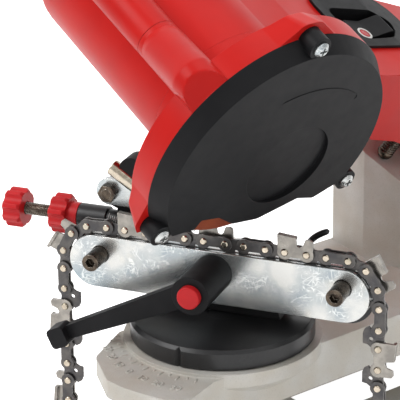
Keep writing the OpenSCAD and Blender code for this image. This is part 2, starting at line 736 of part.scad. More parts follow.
module rear_housing() color(plastic_red) head_frame() difference() {
    union() {
        xcyl(motor_r, motor_end + dome_depth, seam_x);
        rear_dome(0);
        tower_place() xcyl(tower_r, tower_end, -44.2);
        arm(arm_x[0], seam_x);
    }
    xcyl(motor_bore_r, motor_end + dome_depth - 0.01, seam_x + 1);
    difference() {
        rear_dome(shell);
        xcyl(rear_bearing_r + 4, motor_end, rear_bearing_x + rear_bearing_t);
    }
    xcyl(rear_bearing_r + fit, rear_bearing_x, motor_end + 40);
    for (i = [0:11]) rotate([i * 30, 0, 0]) translate([motor_end - 1, -1.4, 16]) cube([9, 2.8, 11]);
    tower_place() xcyl(tower_r - shell, tower_end + shell, -44);
    hinge_cuts();
    arm_fittings();
}

// Rounded end of the motor housing, or of the room inside it at the depth given.
module rear_dome(depth) {
    r = motor_r - depth;
    edge = dome_edge - depth;
    translate([motor_end, 0, 0]) rotate([0, 90, 0]) rotate_extrude() polygon(concat(
        [[0, dome_depth], [0, depth]],
        [for (i = [0:8]) let (t = i * 90 / 8) [r - edge + edge * sin(t), dome_edge - edge * cos(t)]],
        [[r, dome_depth]]
    ));
}

// Room for the ears beside the arm's tongue and the pin's bore.
module hinge_cuts() {
    difference() {
        for (ear = [near_ear_x, far_ear_x]) translate([0, hinge.x, hinge.y]) xcyl(hinge_r + 0.6, ear[0] - 15, ear[1] + 15);
        translate([0, hinge.x, hinge.y]) xcyl(hinge_r + 2, tongue_x[0], tongue_x[1]);
    }
    translate([0, hinge.x, hinge.y]) xcyl(hinge_pin_r + fit, -80, 20);
}

// Room for the depth screw, the switch and the screws that join the halves.
module arm_fittings() {
    depth_axis() cylinder(r = depth_screw_r + fit, h = 90);
    well_prism(bezel_wall + face_gap, well_floor - bezel_wall - face_gap);
    translate([rocker_x - 11.3, 80.7, -20.3]) cube([22.6, 26.6, 20]);
    gland_place() cylinder(r = gland_r + fit, h = 40);
    for (site = housing_screw_sites) translate([0, site.x, site.y]) {
        xcyl(housing_screw_r + fit, arm_x[0] - 1, -12);
        xcyl(screw_head_r + 0.4, arm_x[0] - 1, arm_x[0] + 6);
    }
}

module housing_screws() color(zinc) head_frame() for (site = housing_screw_sites)
    translate([arm_x[0] + 6, site.x, site.y]) rotate([0, -90, 0]) cross_screw(housing_screw_r, 40, screw_head_r, 3);

module wheel_cover() color(satin_black) head_frame() {
    lower_edge = [
        [90, 90, 0], [-90, 90, 0], [-90, -31.5, 0], [-33.8, -32, 1], [-31.4, -27.4, 1], [-21.5, -29, 2],
        [-11.6, -36, 3], [3, -37.8, 8], [24, -32, 3], [34, -35, 3], [46, -29.8, 3], [90, -31, 0]
    ];
    difference() {
        union() {
            intersection() {
                xcone(guard_r, cover_face_r, guard_edge, cover_face);
                xplate(lower_edge, guard_edge - 1, cover_face + 1);
            }
            cover_bosses() xcyl(boss_r, boss_back + 0.05, cover_face - 0.3);
        }
        difference() {
            xcone(guard_r - cover_t - 1, cover_face_r - cover_t, guard_edge - 1, cover_face - cover_t);
            cover_dish() xcyl(dish_r + cover_t, -dish_depth - cover_t, 8);
        }
        cover_dish() xcyl(dish_r, -dish_depth, 8);
        cover_bosses() xcyl(2 + fit, 0, 20);
    }
}

// Place of the round dish in the cover's face, leaning so that it is deepest at the lower right.
module cover_dish() translate([cover_face, 8.6, -7.4]) rotate(3.4, [0, 1, 1]) children();

module cover_screws() color(zinc) head_frame() cover_bosses() translate([cover_face - 0.3, 0, 0]) rotate([0, 90, 0])
    cross_screw(2, 17, 3.5, 2.2);

// ---- switch ----

module switch_bezel() color(satin_black) head_frame() difference() {
    union() {
        intersection() {
            xplate(concat([for (p = bezel_top) [p.x, p.y, 0]], [for (i = [3:-1:0]) [bezel_top[i].x, bezel_top[i].y - 1.5, 0]]),
                -70, -20);
            translate([0, 0, -20]) plate(bezel_plan, 60);
        }
        intersection() {
            translate([0, 0, well_floor - bezel_wall]) plate(inset(well_plan, -bezel_wall), 40);
            xplate([[60, -20, 0], [128, -20, 0], [128, -4, 0], [100, 7.7, 0], [72, 14.1, 0], [60, 18.4, 0]], -70, -20);
        }
    }
    translate([0, 0, well_floor]) plate(well_plan, 60);
    translate([rocker_x, rocker_pivot.x, rocker_pivot.y]) xcyl(1.5 + fit, -12, 12);
}

module switch_body() color(satin_black) head_frame() translate([rocker_x - 11, 81, -20]) cube([22, 26, 20 + well_floor - bezel_wall - 0.1]);

module rocker() color(plastic_red) head_frame() {
    half = rocker_w / 2;
    xplate([[81, -2, 1], [92, -3.2, 2], [104, -0.5, 1], [104.5, 7, 1], [92, 5.6, 6], [80.4, 9, 1]],
        rocker_x - half, rocker_x + half);
    translate([rocker_x, rocker_pivot.x, rocker_pivot.y]) xcyl(1.5, -rocker_pin_half, rocker_pin_half);
}

module gland_place() translate([-36, 159, -22]) rotate([-90, 0, 0]) children();

module cord_gland() color(satin_black) head_frame() gland_place()
    rotate_extrude() polygon([[0, 0], [gland_r, 0], [gland_r, 6], [5.6, 8.5], [4.6, 18], [3.6, 18], [3.6, 12], [0, 12]]);

// ---- depth screw ----

module depth_screw() color(steel) head_frame() depth_axis() {
    cylinder(r = depth_screw_r, h = depth_rod_len);
    sphere(r = depth_screw_r);
}

module depth_knob() color(satin_black) head_frame() depth_axis() translate([0, 0, depth_knob_z]) difference() {
    lobed_knob(12, 18, 6);
    translate([0, 0, -1]) cylinder(r = depth_screw_r + fit, h = depth_rod_len - depth_knob_z + 1.05);
}

module depth_lock_nut() color(steel) head_frame() depth_axis() translate([0, 0, arm_crossing + 0.05]) difference() {
    hex_nut(13, depth_nut_t);
    translate([0, 0, -1]) cylinder(r = depth_screw_r + fit, h = depth_nut_t + 2);
}

// ---- wheel and spindle ----

module grinding_wheel() color([0.62, 0.25, 0.14]) head_frame() difference() {
    xcyl(wheel_r, -wheel_t / 2, wheel_t / 2);
    xcyl(wheel_bore_r, -10, 10);
}

module flange_at(x0, x1) difference() {
    xcyl(flange_r, x0, x1);
    xcyl(shaft_r + fit, x0 - 1, x1 + 1);
}

module inner_flange() color(steel) head_frame() difference() {
    union() {
        xcyl(flange_r, -wheel_t / 2 - flange_t, -wheel_t / 2);
        xcyl(wheel_bore_r - fit, -wheel_t / 2, wheel_t / 2 - 0.4);
    }
    xcyl(shaft_r + fit, -10, 10);
}

module outer_flange() color(steel) head_frame() flange_at(wheel_t / 2, wheel_t / 2 + flange_t);

module wheel_nut() color(zinc) head_frame() translate([wheel_t / 2 + flange_t, 0, 0]) rotate([0, 90, 0]) difference() {
    hex_nut(16, nut_t);
    translate([0, 0, -1]) cylinder(r = shaft_r + fit, h = nut_t + 2);
}

module motor_shaft() color(steel) head_frame() {
    xcyl(shaft_r, rear_bearing_x + rear_bearing_t + 0.5, shaft_front);
    xcyl(shaft_rear_r, rear_bearing_x + 0.5, rear_bearing_x + rear_bearing_t + 1);
}

module on_shaft(r, x0, x1) difference() {
    xcyl(r, x0, x1);
    xcyl(shaft_r + fit, x0 - 1, x1 + 1);
}

module rotor_core() color(dark_steel) head_frame() difference() {
    on_shaft(rotor_r, stator_x[0] + 1, stator_x[1] - 1);
    for (i = [0:11]) rotate([i * 30, 0, 0]) translate([-120, -0.8, rotor_r - 2.5]) cube([120, 1.6, 6]);
}

module commutator() color(copper) head_frame() on_shaft(commutator_r, commutator_x[0], commutator_x[1]);

module cooling_fan() color(satin_black) head_frame() difference() {
    union() {
        on_shaft(28, -40, -38);
        on_shaft(9, -40, -30);
        for (i = [0:8]) rotate([i * 40, 0, 0]) translate([-38.1, -0.8, 8]) cube([8, 1.6, 19]);
    }
    xcyl(shaft_r + fit, -50, -20);
}

module stator() color(dark_steel) head_frame() difference() {
    xcyl(stator_r, stator_x[0], stator_x[1]);
    xcyl(rotor_r + 0.6, stator_x[0] - 1, stator_x[1] + 1);
    for (side = [-1, 1]) translate([stator_x[0] - 1, -6, side * 24 - 2.5]) cube([60, 12, 5]);
}

module brush_holders() color([0.75, 0.62, 0.3]) head_frame() for (side = [-1, 1]) scale([1, 1, side]) difference() {
    translate([-106, -4.5, commutator_r + 2]) cube([8, 9, motor_bore_r - commutator_r - 2.8]);
    translate([-105.05, -3.55, commutator_r]) cube([6.1, 7.1, 15]);
}

module carbon_brushes() color([0.2, 0.2, 0.2]) head_frame() for (side = [-1, 1]) scale([1, 1, side])
    translate([-105, -3.5, commutator_r + 0.1]) cube([6, 7, 12]);

module bearing(outer_r, bore_r, t) difference() {
    cylinder(r = outer_r, h = t);
    translate([0, 0, -1]) cylinder(r = bore_r + fit, h = t + 2);
    for (z = [-0.5, t - 0.5]) translate([0, 0, z]) difference() {
        cylinder(r = outer_r - 2, h = 1);
        translate([0, 0, -1]) cylinder(r = bore_r + 2, h = 3);
    }
}

module front_bearing() color(zinc) head_frame() translate([guard_back - 0.5 - front_bearing_t, 0, 0]) rotate([0, 90, 0])
    bearing(front_bearing_r, shaft_r, front_bearing_t);

module rear_bearing() color(zinc) head_frame() translate([rear_bearing_x, 0, 0]) rotate([0, 90, 0])
    bearing(rear_bearing_r, shaft_rear_r, rear_bearing_t);

stand();
hinge_pin();
hinge_nut();
turntable();
pivot_bolt();
angle_lock_knob();
vise_screws();
vise_body();
rear_rail();
front_rail();
rail_bolts();
clamp_screw();
clamp_lever();
lever_button();
chain_guide_rod();
stop_screw();
stop_adjust_knob();
stop_lock_knob();
stop_carriage();
stop_arm_bolt();
stop_arm();
stop_pin();
stop_grip();
chain_drive_links();
chain_tie_straps();
chain_cutters();
chain_rivets();
front_housing();
rear_housing();
housing_screws();
wheel_cover();
cover_screws();
switch_bezel();
switch_body();
rocker();
cord_gland();
depth_screw();
depth_knob();
depth_lock_nut();
grinding_wheel();
inner_flange();
outer_flange();
wheel_nut();
motor_shaft();
rotor_core();
commutator();
cooling_fan();
stator();
brush_holders();
carbon_brushes();
front_bearing();
rear_bearing();
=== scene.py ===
"""Looks of a bench chain grinder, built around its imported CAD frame.

The grinder's head and vise each have a frame of their own, read from the joints of the
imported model. Pieces that the CAD holds at full shape get rounded edges and a finish. Threads,
scale marks, the switch mark, the tower's end on the ring, the bent guide rod and the cover's
raised line are surfaces made here.
"""

from __future__ import annotations

import json
import logging
import math
from dataclasses import dataclass, field
from enum import Enum
from typing import Any

import bmesh
import bpy
import numpy as np
from mathutils import Matrix, Vector

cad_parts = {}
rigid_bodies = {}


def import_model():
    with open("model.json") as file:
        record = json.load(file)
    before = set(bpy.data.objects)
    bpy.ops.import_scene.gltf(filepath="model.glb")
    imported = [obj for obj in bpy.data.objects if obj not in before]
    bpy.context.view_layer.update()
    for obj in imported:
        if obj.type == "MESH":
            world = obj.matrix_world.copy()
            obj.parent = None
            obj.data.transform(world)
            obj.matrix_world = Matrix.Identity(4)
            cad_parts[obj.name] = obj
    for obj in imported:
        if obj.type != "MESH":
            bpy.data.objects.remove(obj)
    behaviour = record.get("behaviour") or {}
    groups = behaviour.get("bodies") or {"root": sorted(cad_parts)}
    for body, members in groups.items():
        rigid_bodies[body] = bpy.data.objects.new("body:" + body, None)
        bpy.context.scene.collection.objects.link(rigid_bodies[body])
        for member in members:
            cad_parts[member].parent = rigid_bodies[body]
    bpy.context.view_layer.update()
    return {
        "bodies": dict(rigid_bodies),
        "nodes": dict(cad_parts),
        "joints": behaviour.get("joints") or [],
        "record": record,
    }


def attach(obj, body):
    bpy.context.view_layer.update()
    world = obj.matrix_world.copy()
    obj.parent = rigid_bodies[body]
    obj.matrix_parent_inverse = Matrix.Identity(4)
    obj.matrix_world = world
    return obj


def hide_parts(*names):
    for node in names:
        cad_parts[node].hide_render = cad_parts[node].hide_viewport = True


LOG = logging.getLogger("chain_grinder")
MM = 0.001
METRE = 1000.0
RAIL_TURN = math.radians(30.0)
RAIL_NORMAL = (math.sin(RAIL_TURN), -math.cos(RAIL_TURN), 0.0)
X_AXIS, Y_AXIS, Z_AXIS = np.eye(3)

Colour = tuple[float, float, float]
Point = tuple[float, float, float]
Range = tuple[float, float]
Socket = bpy.types.NodeSocket


class Grain(Enum):
    """Small relief of a finish."""

    MOULDED = "moulded"
    CAST = "cast"
    ROLLED = "rolled"
    PLATED = "plated"
    BONDED = "bonded"


@dataclass(frozen=True)
class LocalFrame:
    """A right-handed frame of one sub-assembly, in metres.

    Args:
        origin: Where the frame sits in the row frame.
        x: First axis.
        y: Second axis.
        z: Third axis.
    """

    origin: np.ndarray
    x: np.ndarray
    y: np.ndarray
    z: np.ndarray

    @property
    def axes(self) -> np.ndarray:
        """Gives the three axes as rows."""
        return np.stack([self.x, self.y, self.z])

    def place(self, points: np.ndarray) -> np.ndarray:
        """Moves local points in millimetres, x, y and z last, into the row frame in metres."""
        return self.origin + (points * MM) @ self.axes

    def turned(self, origin: Point, x: np.ndarray, y: np.ndarray) -> LocalFrame:
        """Gives a frame at a local point in millimetres, with its x and y given in this frame."""
        new_x, new_y = x @ self.axes, y @ self.axes
        return LocalFrame(self.place(np.array(origin, float)), new_x, new_y, np.cross(new_x, new_y))


def unit(vectors: np.ndarray) -> np.ndarray:
    """Scales vectors, one in each row, to length 1."""
    return vectors / np.linalg.norm(vectors, axis=-1, keepdims=True)


def turns(count: int) -> np.ndarray:
    """Gives evenly spaced angles over one full turn, in radians."""
    return np.linspace(0.0, 2 * math.pi, count, endpoint=False)


class Nodes:
    """Node tree that is filled by adding nodes with their inputs."""

    def __init__(self, tree: bpy.types.NodeTree) -> None:
        """Empties the tree that is to be filled."""
        self.tree = tree
        tree.nodes.clear()

    def add(
        self, kind: str, inputs: dict[Any, Any] | None = None, **settings: Any
    ) -> bpy.types.Node:
        """Adds a node and sets or links its inputs.

        Args:
            kind: Type of the node, without its ShaderNode prefix.
            inputs: Values or sockets by input name or number.
            settings: Settings of the node itself.

        Returns:
            The new node.
        """
        node = self.tree.nodes.new("ShaderNode" + kind)
        for key, value in settings.items():
            setattr(node, key, value)
        for key, value in (inputs or {}).items():
            self.feed(node.inputs[key], value)
        return node

    def feed(self, socket: Socket, value: Any) -> None:
        """Links a socket to another one, or sets its value.

        Args:
            socket: Input to feed.
            value: Socket, number or colour.
        """
        if isinstance(value, Socket):
            self.tree.links.new(value, socket)
        elif isinstance(value, tuple) and len(value) == 3 and len(socket.default_value) == 4:
            socket.default_value = (*value, 1.0)
        else:
            socket.default_value = value

    def spread(self, value: Socket, low: float, high: float) -> Socket:
        """Maps a value from 0..1 to low..high."""
        return self.add("MapRange", {"Value": value, "To Min": low, "To Max": high}).outputs[0]

    def larger(self, a: Socket, b: Socket) -> Socket:
        """Gives the larger of two numbers."""
        return self.add("Math", {0: a, 1: b}, operation="MAXIMUM").outputs["Value"]


class Graph(Nodes):
    """Node tree of one material, with its main shader and Object coordinates at hand."""

    def __init__(self, name: str) -> None:
        """Starts an empty material of that name."""
        self.material = bpy.data.materials.new(name)
        self.material.use_nodes = True
        super().__init__(self.material.node_tree)
        self.shader = self.add("BsdfPrincipled")
        self.add("OutputMaterial", {"Surface": self.shader.outputs["BSDF"]})
        self.coords = self.add("TexCoord").outputs["Object"]

    def shade(self, inputs: dict[str, Any]) -> None:
        """Feeds inputs of the main shader, given by name."""
        for name, value in inputs.items():
            self.feed(self.shader.inputs[name], value)

    def stretched(self, scale: Point, turn: float = 0.0, tip: float = 0.0) -> Socket:
        """Gives Object coordinates, scaled and turned about Z.

        Args:
            scale: Scale along each axis, in cells per metre.
            turn: Turn about Z in radians, before the stretch.
            tip: Turn about the rails' face in radians, before both.

        Returns:
            The vector socket.
        """
        inputs = {"Vector": self.coords, "Axis": RAIL_NORMAL, "Angle": tip}
        level = self.add("VectorRotate", inputs).outputs["Vector"]
        sizes = tuple(1.0 / v for v in scale)
        inputs = {"Vector": level, "Rotation": (0.0, 0.0, turn), "Scale": sizes}
        return self.add("Mapping", inputs, vector_type="TEXTURE").outputs["Vector"]

    def noise(self, cell: float, detail: float, vector: Socket | None = None) -> Socket:
        """Gives a noise between 0 and 1, with cells in millimetres and octaves of detail."""
        inputs = {"Vector": vector or self.coords, "Scale": 1.0 / (cell * MM), "Detail": detail}
        return self.add("TexNoise", inputs).outputs["Fac"]

    def cells(self, scale: float, vector: Socket | None = None, feature: str = "F1") -> Socket:
        """Gives the distance in a field of random cells, so many to a unit of the vector."""
        inputs = {"Vector": vector or self.coords, "Scale": scale}
        return self.add("TexVoronoi", inputs, feature=feature).outputs["Distance"]

    def window(self, value: Socket, rise: Range) -> Socket:
        """Maps a value to 0..1 and clamps it. The rise holds what becomes 0 and 1."""
        inputs = {"Value": value, "From Min": rise[0], "From Max": rise[1]}
        return self.add("MapRange", inputs).outputs["Result"]

    def blend(self, share: Any, a: Any, b: Any) -> Socket:
        """Mixes two colours.

        Args:
            share: Share of the second colour.
            a: First colour.
            b: Second colour.

        Returns:
            The colour socket.
        """
        node = self.add("Mix", data_type="RGBA")
        for name, value in (("Factor", share), ("A", a), ("B", b)):
            self.feed(node.inputs[name], value)
        return node.outputs["Result"]

    def times(self, a: Any, b: Any) -> Socket:
        """Multiplies two numbers and clamps the product to 0..1."""
        node = self.add("Math", {0: a, 1: b}, operation="MULTIPLY", use_clamp=True)
        return node.outputs["Value"]

    def relief(self, height: Socket, depth: float, normal: Socket) -> Socket:
        """Adds a bump to a normal, from a height of 0 to 1 and a depth in millimetres."""
        inputs = {"Height": height, "Distance": depth * MM, "Strength": 1.0, "Normal": normal}
        return self.add("Bump", inputs).outputs["Normal"]


BEVEL_SAMPLES = 4

# Values between which each effect rises from none to full.
PATCH_RISE = (0.38, 0.66)
STAIN_RISE = (0.42, 0.62)
PIT_RISE = (0.05, 0.4)
HOLLOW_PAINTED_SHADE_RISE = (0.42, 0.2)
BLUE_RISE = (0.5, 0.72)
WARM_RISE = (0.58, 0.72)
SCRATCH_RISE = (0.05, 0.02)
SCRATCH_BREAK_RISE = (0.52, 0.6)
SCRATCH_FIELD_RISE = (0.42, 0.55)
ROUND_RISE = (0.995, 0.86)
WEAR_RISE = (0.3, 0.62)

# Sizes of noise cells in millimetres.
STAIN_CELL = 17.0
SCRATCH_BREAK_CELL = 5.0
SCRATCH_FIELD_CELL = 16.0
WEAR_CELL = 2.2

# Sizes of noise cells as shares of a finish's patch.
ROUGH_CELL = 0.4
BLUE_CELL = 1.7
WARM_CELL = 0.8

# Lowest and highest roughness, and that of a scratch, as shares of the middle one.
ROUGH_SWING = (0.82, 1.2)
SCRATCH_ROUGH = 0.6

# Gain and lift that turn a finish's colour into that of its scratches.
SCRATCH_GAIN = 1.5
SCRATCH_LIFT = 0.04

# Painted shade in the hollows of a cast or bonded surface: how strongly it darkens them, and how
# dark they get.
HOLLOW_PAINTED_SHADE_SHARE = 0.35
HOLLOW_PAINTED_SHADE_DARKNESS = 0.55

# Pits of a casting: cells in one grain, and the height that is left in a pit.
PIT_CELLS = 0.45
PIT_HEIGHT = 0.5

# Cells along a rolled surface for one across it.
ROLLED_STRETCH = 0.12

# Bluish and warm tints of a plated surface, with the stretch of the first.
BLUE_STRETCH = (0.8, 0.8, 1.3)
BLUE_SHARE = 0.55
BLUE_TINT = (0.80, 0.92, 0.97)
WARM_SHARE = 0.3
WARM_TINT = (1.0, 0.93, 0.80)

# Sets of scratches: tip in radians, cells per metre along and across. One depth serves all.
SCRATCH_SETS = ((0.06, 95.0, 520.0), (1.45, 150.0, 480.0), (-0.5, 120.0, 430.0))
SCRATCH_DEPTH_CELLS = 430.0


def tinted(colour: Colour, tint: Colour) -> Colour:
    """Multiplies two colours."""
    return tuple(c * t for c, t in zip(colour, tint))


@dataclass(frozen=True)
class Finish:
    """A surface finish: colour with slow variation, small relief, scratches and worn edges.

    Args:
        name: Name of the material.
        slot: Record slot of the finish; not used.
        colour: Main colour, linear.
        second: Colour that the slow variation leans to.
        metallic: Share of metal.
        roughness: Middle roughness.
        grain: Kind of small relief.
        grain_size: Size of the relief's cells in millimetres.
        grain_depth: Depth of the relief in millimetres.
        patch: Size of the slow colour variation in millimetres.
        scratches: Strength of fine scratches, 0 to 1.
        edge: Colour of worn edges.
        edge_share: How much the edges show it, 0 to 1.
        edge_radius: Reach of the edges in millimetres.
        specular: Level of the plain reflection.
        stain: Colour of the stains on a casting.
        stain_share: Strength of those stains, 0 to 1.
    """

    name: str
    slot: str
    colour: Colour
    second: Colour
    metallic: float
    roughness: float
    grain: Grain
    grain_size: float
    grain_depth: float
    patch: float = 14.0
    scratches: float = 0.0
    edge: Colour = (0.5, 0.5, 0.5)
    edge_share: float = 0.0
    edge_radius: float = 0.5
    specular: float = 0.5
    stain: Colour = (0.0, 0.0, 0.0)
    stain_share: float = 0.0

    def build(self) -> bpy.types.Material:
        """Makes the material.

        Returns:
            The material.
        """
        graph = Graph(self.name)
        bevel = graph.add("Bevel", {"Radius": self.edge_radius * MM}, samples=BEVEL_SAMPLES)
        rounded = bevel.outputs["Normal"]
        patches = graph.window(graph.noise(self.patch, 4.0), PATCH_RISE)
        colour = graph.blend(patches, self.colour, self.second)
        height = self.small_relief(graph)
        colour = self.hollow_shade_and_plating_tint(graph, colour, height)
        if self.stain_share:
            blots = graph.window(graph.noise(STAIN_CELL, 5.0), STAIN_RISE)
            colour = graph.blend(graph.times(blots, self.stain_share), colour, self.stain)
        smooth, dull = (self.roughness * share for share in ROUGH_SWING)
        rough = graph.spread(graph.noise(self.patch * ROUGH_CELL, 3.0), smooth, dull)
        if self.scratches:
            share = graph.times(self.scratch_lines(graph), self.scratches)
            bare = tuple(min(1.0, c * SCRATCH_GAIN + SCRATCH_LIFT) for c in self.colour)
            colour = graph.blend(share, colour, bare)
            rough = graph.spread(share, self.roughness, self.roughness * SCRATCH_ROUGH)
        if self.edge_share:
            colour = graph.blend(self.edge_mask(graph, rounded), colour, self.edge)
        graph.shade({
            "Base Color": colour,
            "Roughness": rough,
            "Normal": graph.relief(height, self.grain_depth, rounded),
            "Metallic": self.metallic,
            "Specular IOR Level": self.specular,
        })
        return graph.material

    def small_relief(self, graph: Graph) -> Socket:
        """Makes the height of the small relief.

        Args:
            graph: Tree to add to.

        Returns:
            Height socket between 0 and 1.
        """
        scale = 1.0 / (self.grain_size * MM)
        if self.grain is Grain.ROLLED:
            streaks = graph.stretched((scale * ROLLED_STRETCH, scale, scale), RAIL_TURN)
            return graph.noise(METRE, 3.0, streaks)
        if self.grain is Grain.CAST:
            pits = graph.window(graph.cells(PIT_CELLS * scale), PIT_RISE)
            fine = graph.noise(self.grain_size, 3.0)
            return graph.times(fine, graph.spread(pits, PIT_HEIGHT, 1.0))
        if self.grain is Grain.BONDED:
            return graph.cells(scale)
        return graph.noise(self.grain_size, 2.0)

    def hollow_shade_and_plating_tint(self, graph: Graph, colour: Socket, height: Socket) -> Socket:
        """Paints shade into the low points of a cast or bonded surface, and tints a plated one.

        Args:
            graph: Tree to add to.
            colour: Colour so far.
            height: Height of the small relief.

        Returns:
            The new colour.
        """
        if self.grain in (Grain.CAST, Grain.BONDED):
            # Painted shade: the low points of the relief are darkened, where shade would fall.
            low = graph.times(graph.window(height, HOLLOW_PAINTED_SHADE_RISE), HOLLOW_PAINTED_SHADE_SHARE)
            return graph.blend(low, colour, tuple(c * HOLLOW_PAINTED_SHADE_DARKNESS for c in self.colour))
        if self.grain is Grain.PLATED:
            blue = graph.noise(self.patch * BLUE_CELL, 2.0, graph.stretched(BLUE_STRETCH))
            blue = graph.times(graph.window(blue, BLUE_RISE), BLUE_SHARE)
            colour = graph.blend(blue, colour, tinted(self.second, BLUE_TINT))
            warm = graph.window(graph.noise(self.patch * WARM_CELL, 3.0), WARM_RISE)
            warm = graph.times(warm, WARM_SHARE)
            return graph.blend(warm, colour, tinted(self.colour, WARM_TINT))
        return colour

    def scratch_lines(self, graph: Graph) -> Socket:
        """Makes thin broken lines in three directions, the edges of long cells.

        Args:
            graph: Tree to add to.

        Returns:
            Mask socket between 0 and 1.
        """
        total: Socket | None = None
        for tip, along, across in SCRATCH_SETS:
            vector = graph.stretched((along, SCRATCH_DEPTH_CELLS, across), RAIL_TURN, tip)
            lines = graph.window(graph.cells(1.0, vector, "DISTANCE_TO_EDGE"), SCRATCH_RISE)
            level = graph.stretched((1.0, 1.0, 1.0), 0.0, tip)
            breaks = graph.noise(SCRATCH_BREAK_CELL, 2.0, level)
            lines = graph.times(lines, graph.window(breaks, SCRATCH_BREAK_RISE))
            total = lines if total is None else graph.larger(total, lines)
        fields = graph.window(graph.noise(SCRATCH_FIELD_CELL, 2.0), SCRATCH_FIELD_RISE)
        return graph.times(total, fields)

    def edge_mask(self, graph: Graph, rounded: Socket) -> Socket:
        """Finds edges where the rounded normal leaves the plain one.

        Args:
            graph: Tree to add to.
            rounded: Rounded normal.

        Returns:
            Mask socket between 0 and 1.
        """
        plain = graph.add("NewGeometry").outputs["Normal"]
        same = graph.add("VectorMath", {0: rounded, 1: plain}, operation="DOT_PRODUCT")
        edges = graph.window(same.outputs["Value"], ROUND_RISE)
        wear = graph.times(edges, graph.window(graph.noise(WEAR_CELL, 3.0), WEAR_RISE))
        return graph.times(wear, self.edge_share)


class Finishes(Enum):
    """Every finish on the grinder."""

    CASTING = Finish(
        "bare_casting", "casting", (0.60, 0.585, 0.545), (0.53, 0.51, 0.465), 0.2, 0.55,
        Grain.CAST, 0.55, 0.14, patch=22.0, edge=(0.74, 0.72, 0.68), edge_share=0.5,
        edge_radius=0.8, specular=0.4, stain=(0.50, 0.44, 0.35), stain_share=0.35)
    BLACK_PAINT = Finish(
        "black_paint", "black_metal", (0.013, 0.013, 0.014), (0.018, 0.018, 0.019), 0.0, 0.34,
        Grain.MOULDED, 0.5, 0.03, scratches=0.12, edge=(0.10, 0.10, 0.10), edge_share=0.5,
        specular=0.35)
    BLACK_PLASTIC = Finish(
        "black_plastic", "black_plastic", (0.0075, 0.0075, 0.0085), (0.010, 0.010, 0.011), 0.0, 0.5,
        Grain.MOULDED, 0.32, 0.03, edge=(0.03, 0.03, 0.033), edge_share=0.4, edge_radius=0.4,
        specular=0.13)
    RED_PLASTIC = Finish(
        "red_plastic", "red_plastic", (0.60, 0.013, 0.010), (0.54, 0.011, 0.009), 0.0, 0.38,
        Grain.MOULDED, 0.5, 0.016, patch=30.0, edge=(0.75, 0.08, 0.07), edge_share=0.35,
        specular=0.14)
    KNOB_RED = Finish(
        "knob_red", "red_plastic", (0.62, 0.018, 0.022), (0.54, 0.015, 0.019), 0.0, 0.42,
        Grain.MOULDED, 0.5, 0.02, patch=9.0, edge=(0.70, 0.09, 0.10), edge_share=0.4,
        edge_radius=0.4, specular=0.25)
    ROCKER_RED = Finish(
        "rocker_red", "red_plastic", (0.5, 0.01, 0.015), (0.42, 0.008, 0.012), 0.0, 0.25,
        Grain.MOULDED, 0.8, 0.006)
    ZINC = Finish(
        "zinc_plate", "zinc", (0.56, 0.56, 0.54), (0.31, 0.345, 0.365), 0.85, 0.27,
        Grain.PLATED, 0.7, 0.012, patch=16.0, scratches=0.42, edge=(0.9, 0.89, 0.85),
        edge_share=0.6, edge_radius=0.35)
    BRIGHT_STEEL = Finish(
        "bright_steel", "steel", (0.48, 0.42, 0.34), (0.36, 0.31, 0.24), 1.0, 0.2,
        Grain.PLATED, 0.6, 0.01, patch=4.0, scratches=0.3, edge=(0.9, 0.88, 0.84),
        edge_share=0.5, edge_radius=0.2)
    CHAIN_STEEL = Finish(
        "chain_steel", "steel", (0.060, 0.058, 0.060), (0.105, 0.098, 0.092), 0.8, 0.36,
        Grain.ROLLED, 0.35, 0.02, patch=5.0, scratches=0.3, edge=(0.50, 0.48, 0.45),
        edge_share=0.8, edge_radius=0.25)
    CUTTER_STEEL = Finish(
        "cutter_steel", "steel", (0.20, 0.187, 0.17), (0.30, 0.28, 0.25), 0.85, 0.3,
        Grain.ROLLED, 0.35, 0.02, patch=4.0, scratches=0.4, edge=(0.8, 0.78, 0.74),
        edge_share=0.8, edge_radius=0.25)
    BROWNED = Finish(
        "browned_steel", "dark_steel", (0.036, 0.028, 0.022), (0.10, 0.078, 0.058), 0.9, 0.27,
        Grain.ROLLED, 0.5, 0.02, patch=3.0, edge=(0.66, 0.60, 0.52), edge_share=0.9,
        edge_radius=0.4)
    ABRASIVE = Finish(
        "abrasive", "abrasive", (0.40, 0.085, 0.03), (0.3, 0.055, 0.02), 0.0, 0.85,
        Grain.BONDED, 0.45, 0.12, edge=(0.6, 0.25, 0.15), edge_share=0.4)
    COPPER = Finish(
        "copper", "copper", (0.6, 0.3, 0.16), (0.45, 0.2, 0.1), 1.0, 0.35,
        Grain.ROLLED, 0.4, 0.01)
    WHITE_MARK = Finish(
        "white_mark", "zinc", (0.82, 0.81, 0.78), (0.7, 0.69, 0.66), 0.0, 0.55,
        Grain.MOULDED, 0.3, 0.01)


class Palette:
    """Materials, each made once."""

    def __init__(self) -> None:
        """Makes an empty palette."""
        self.made: dict[Finishes, bpy.types.Material] = {}

    def get(self, finish: Finishes) -> bpy.types.Material:
        """Gives a finish's material and makes it on first use."""
        if finish not in self.made:
            self.made[finish] = finish.value.build()
        return self.made[finish]


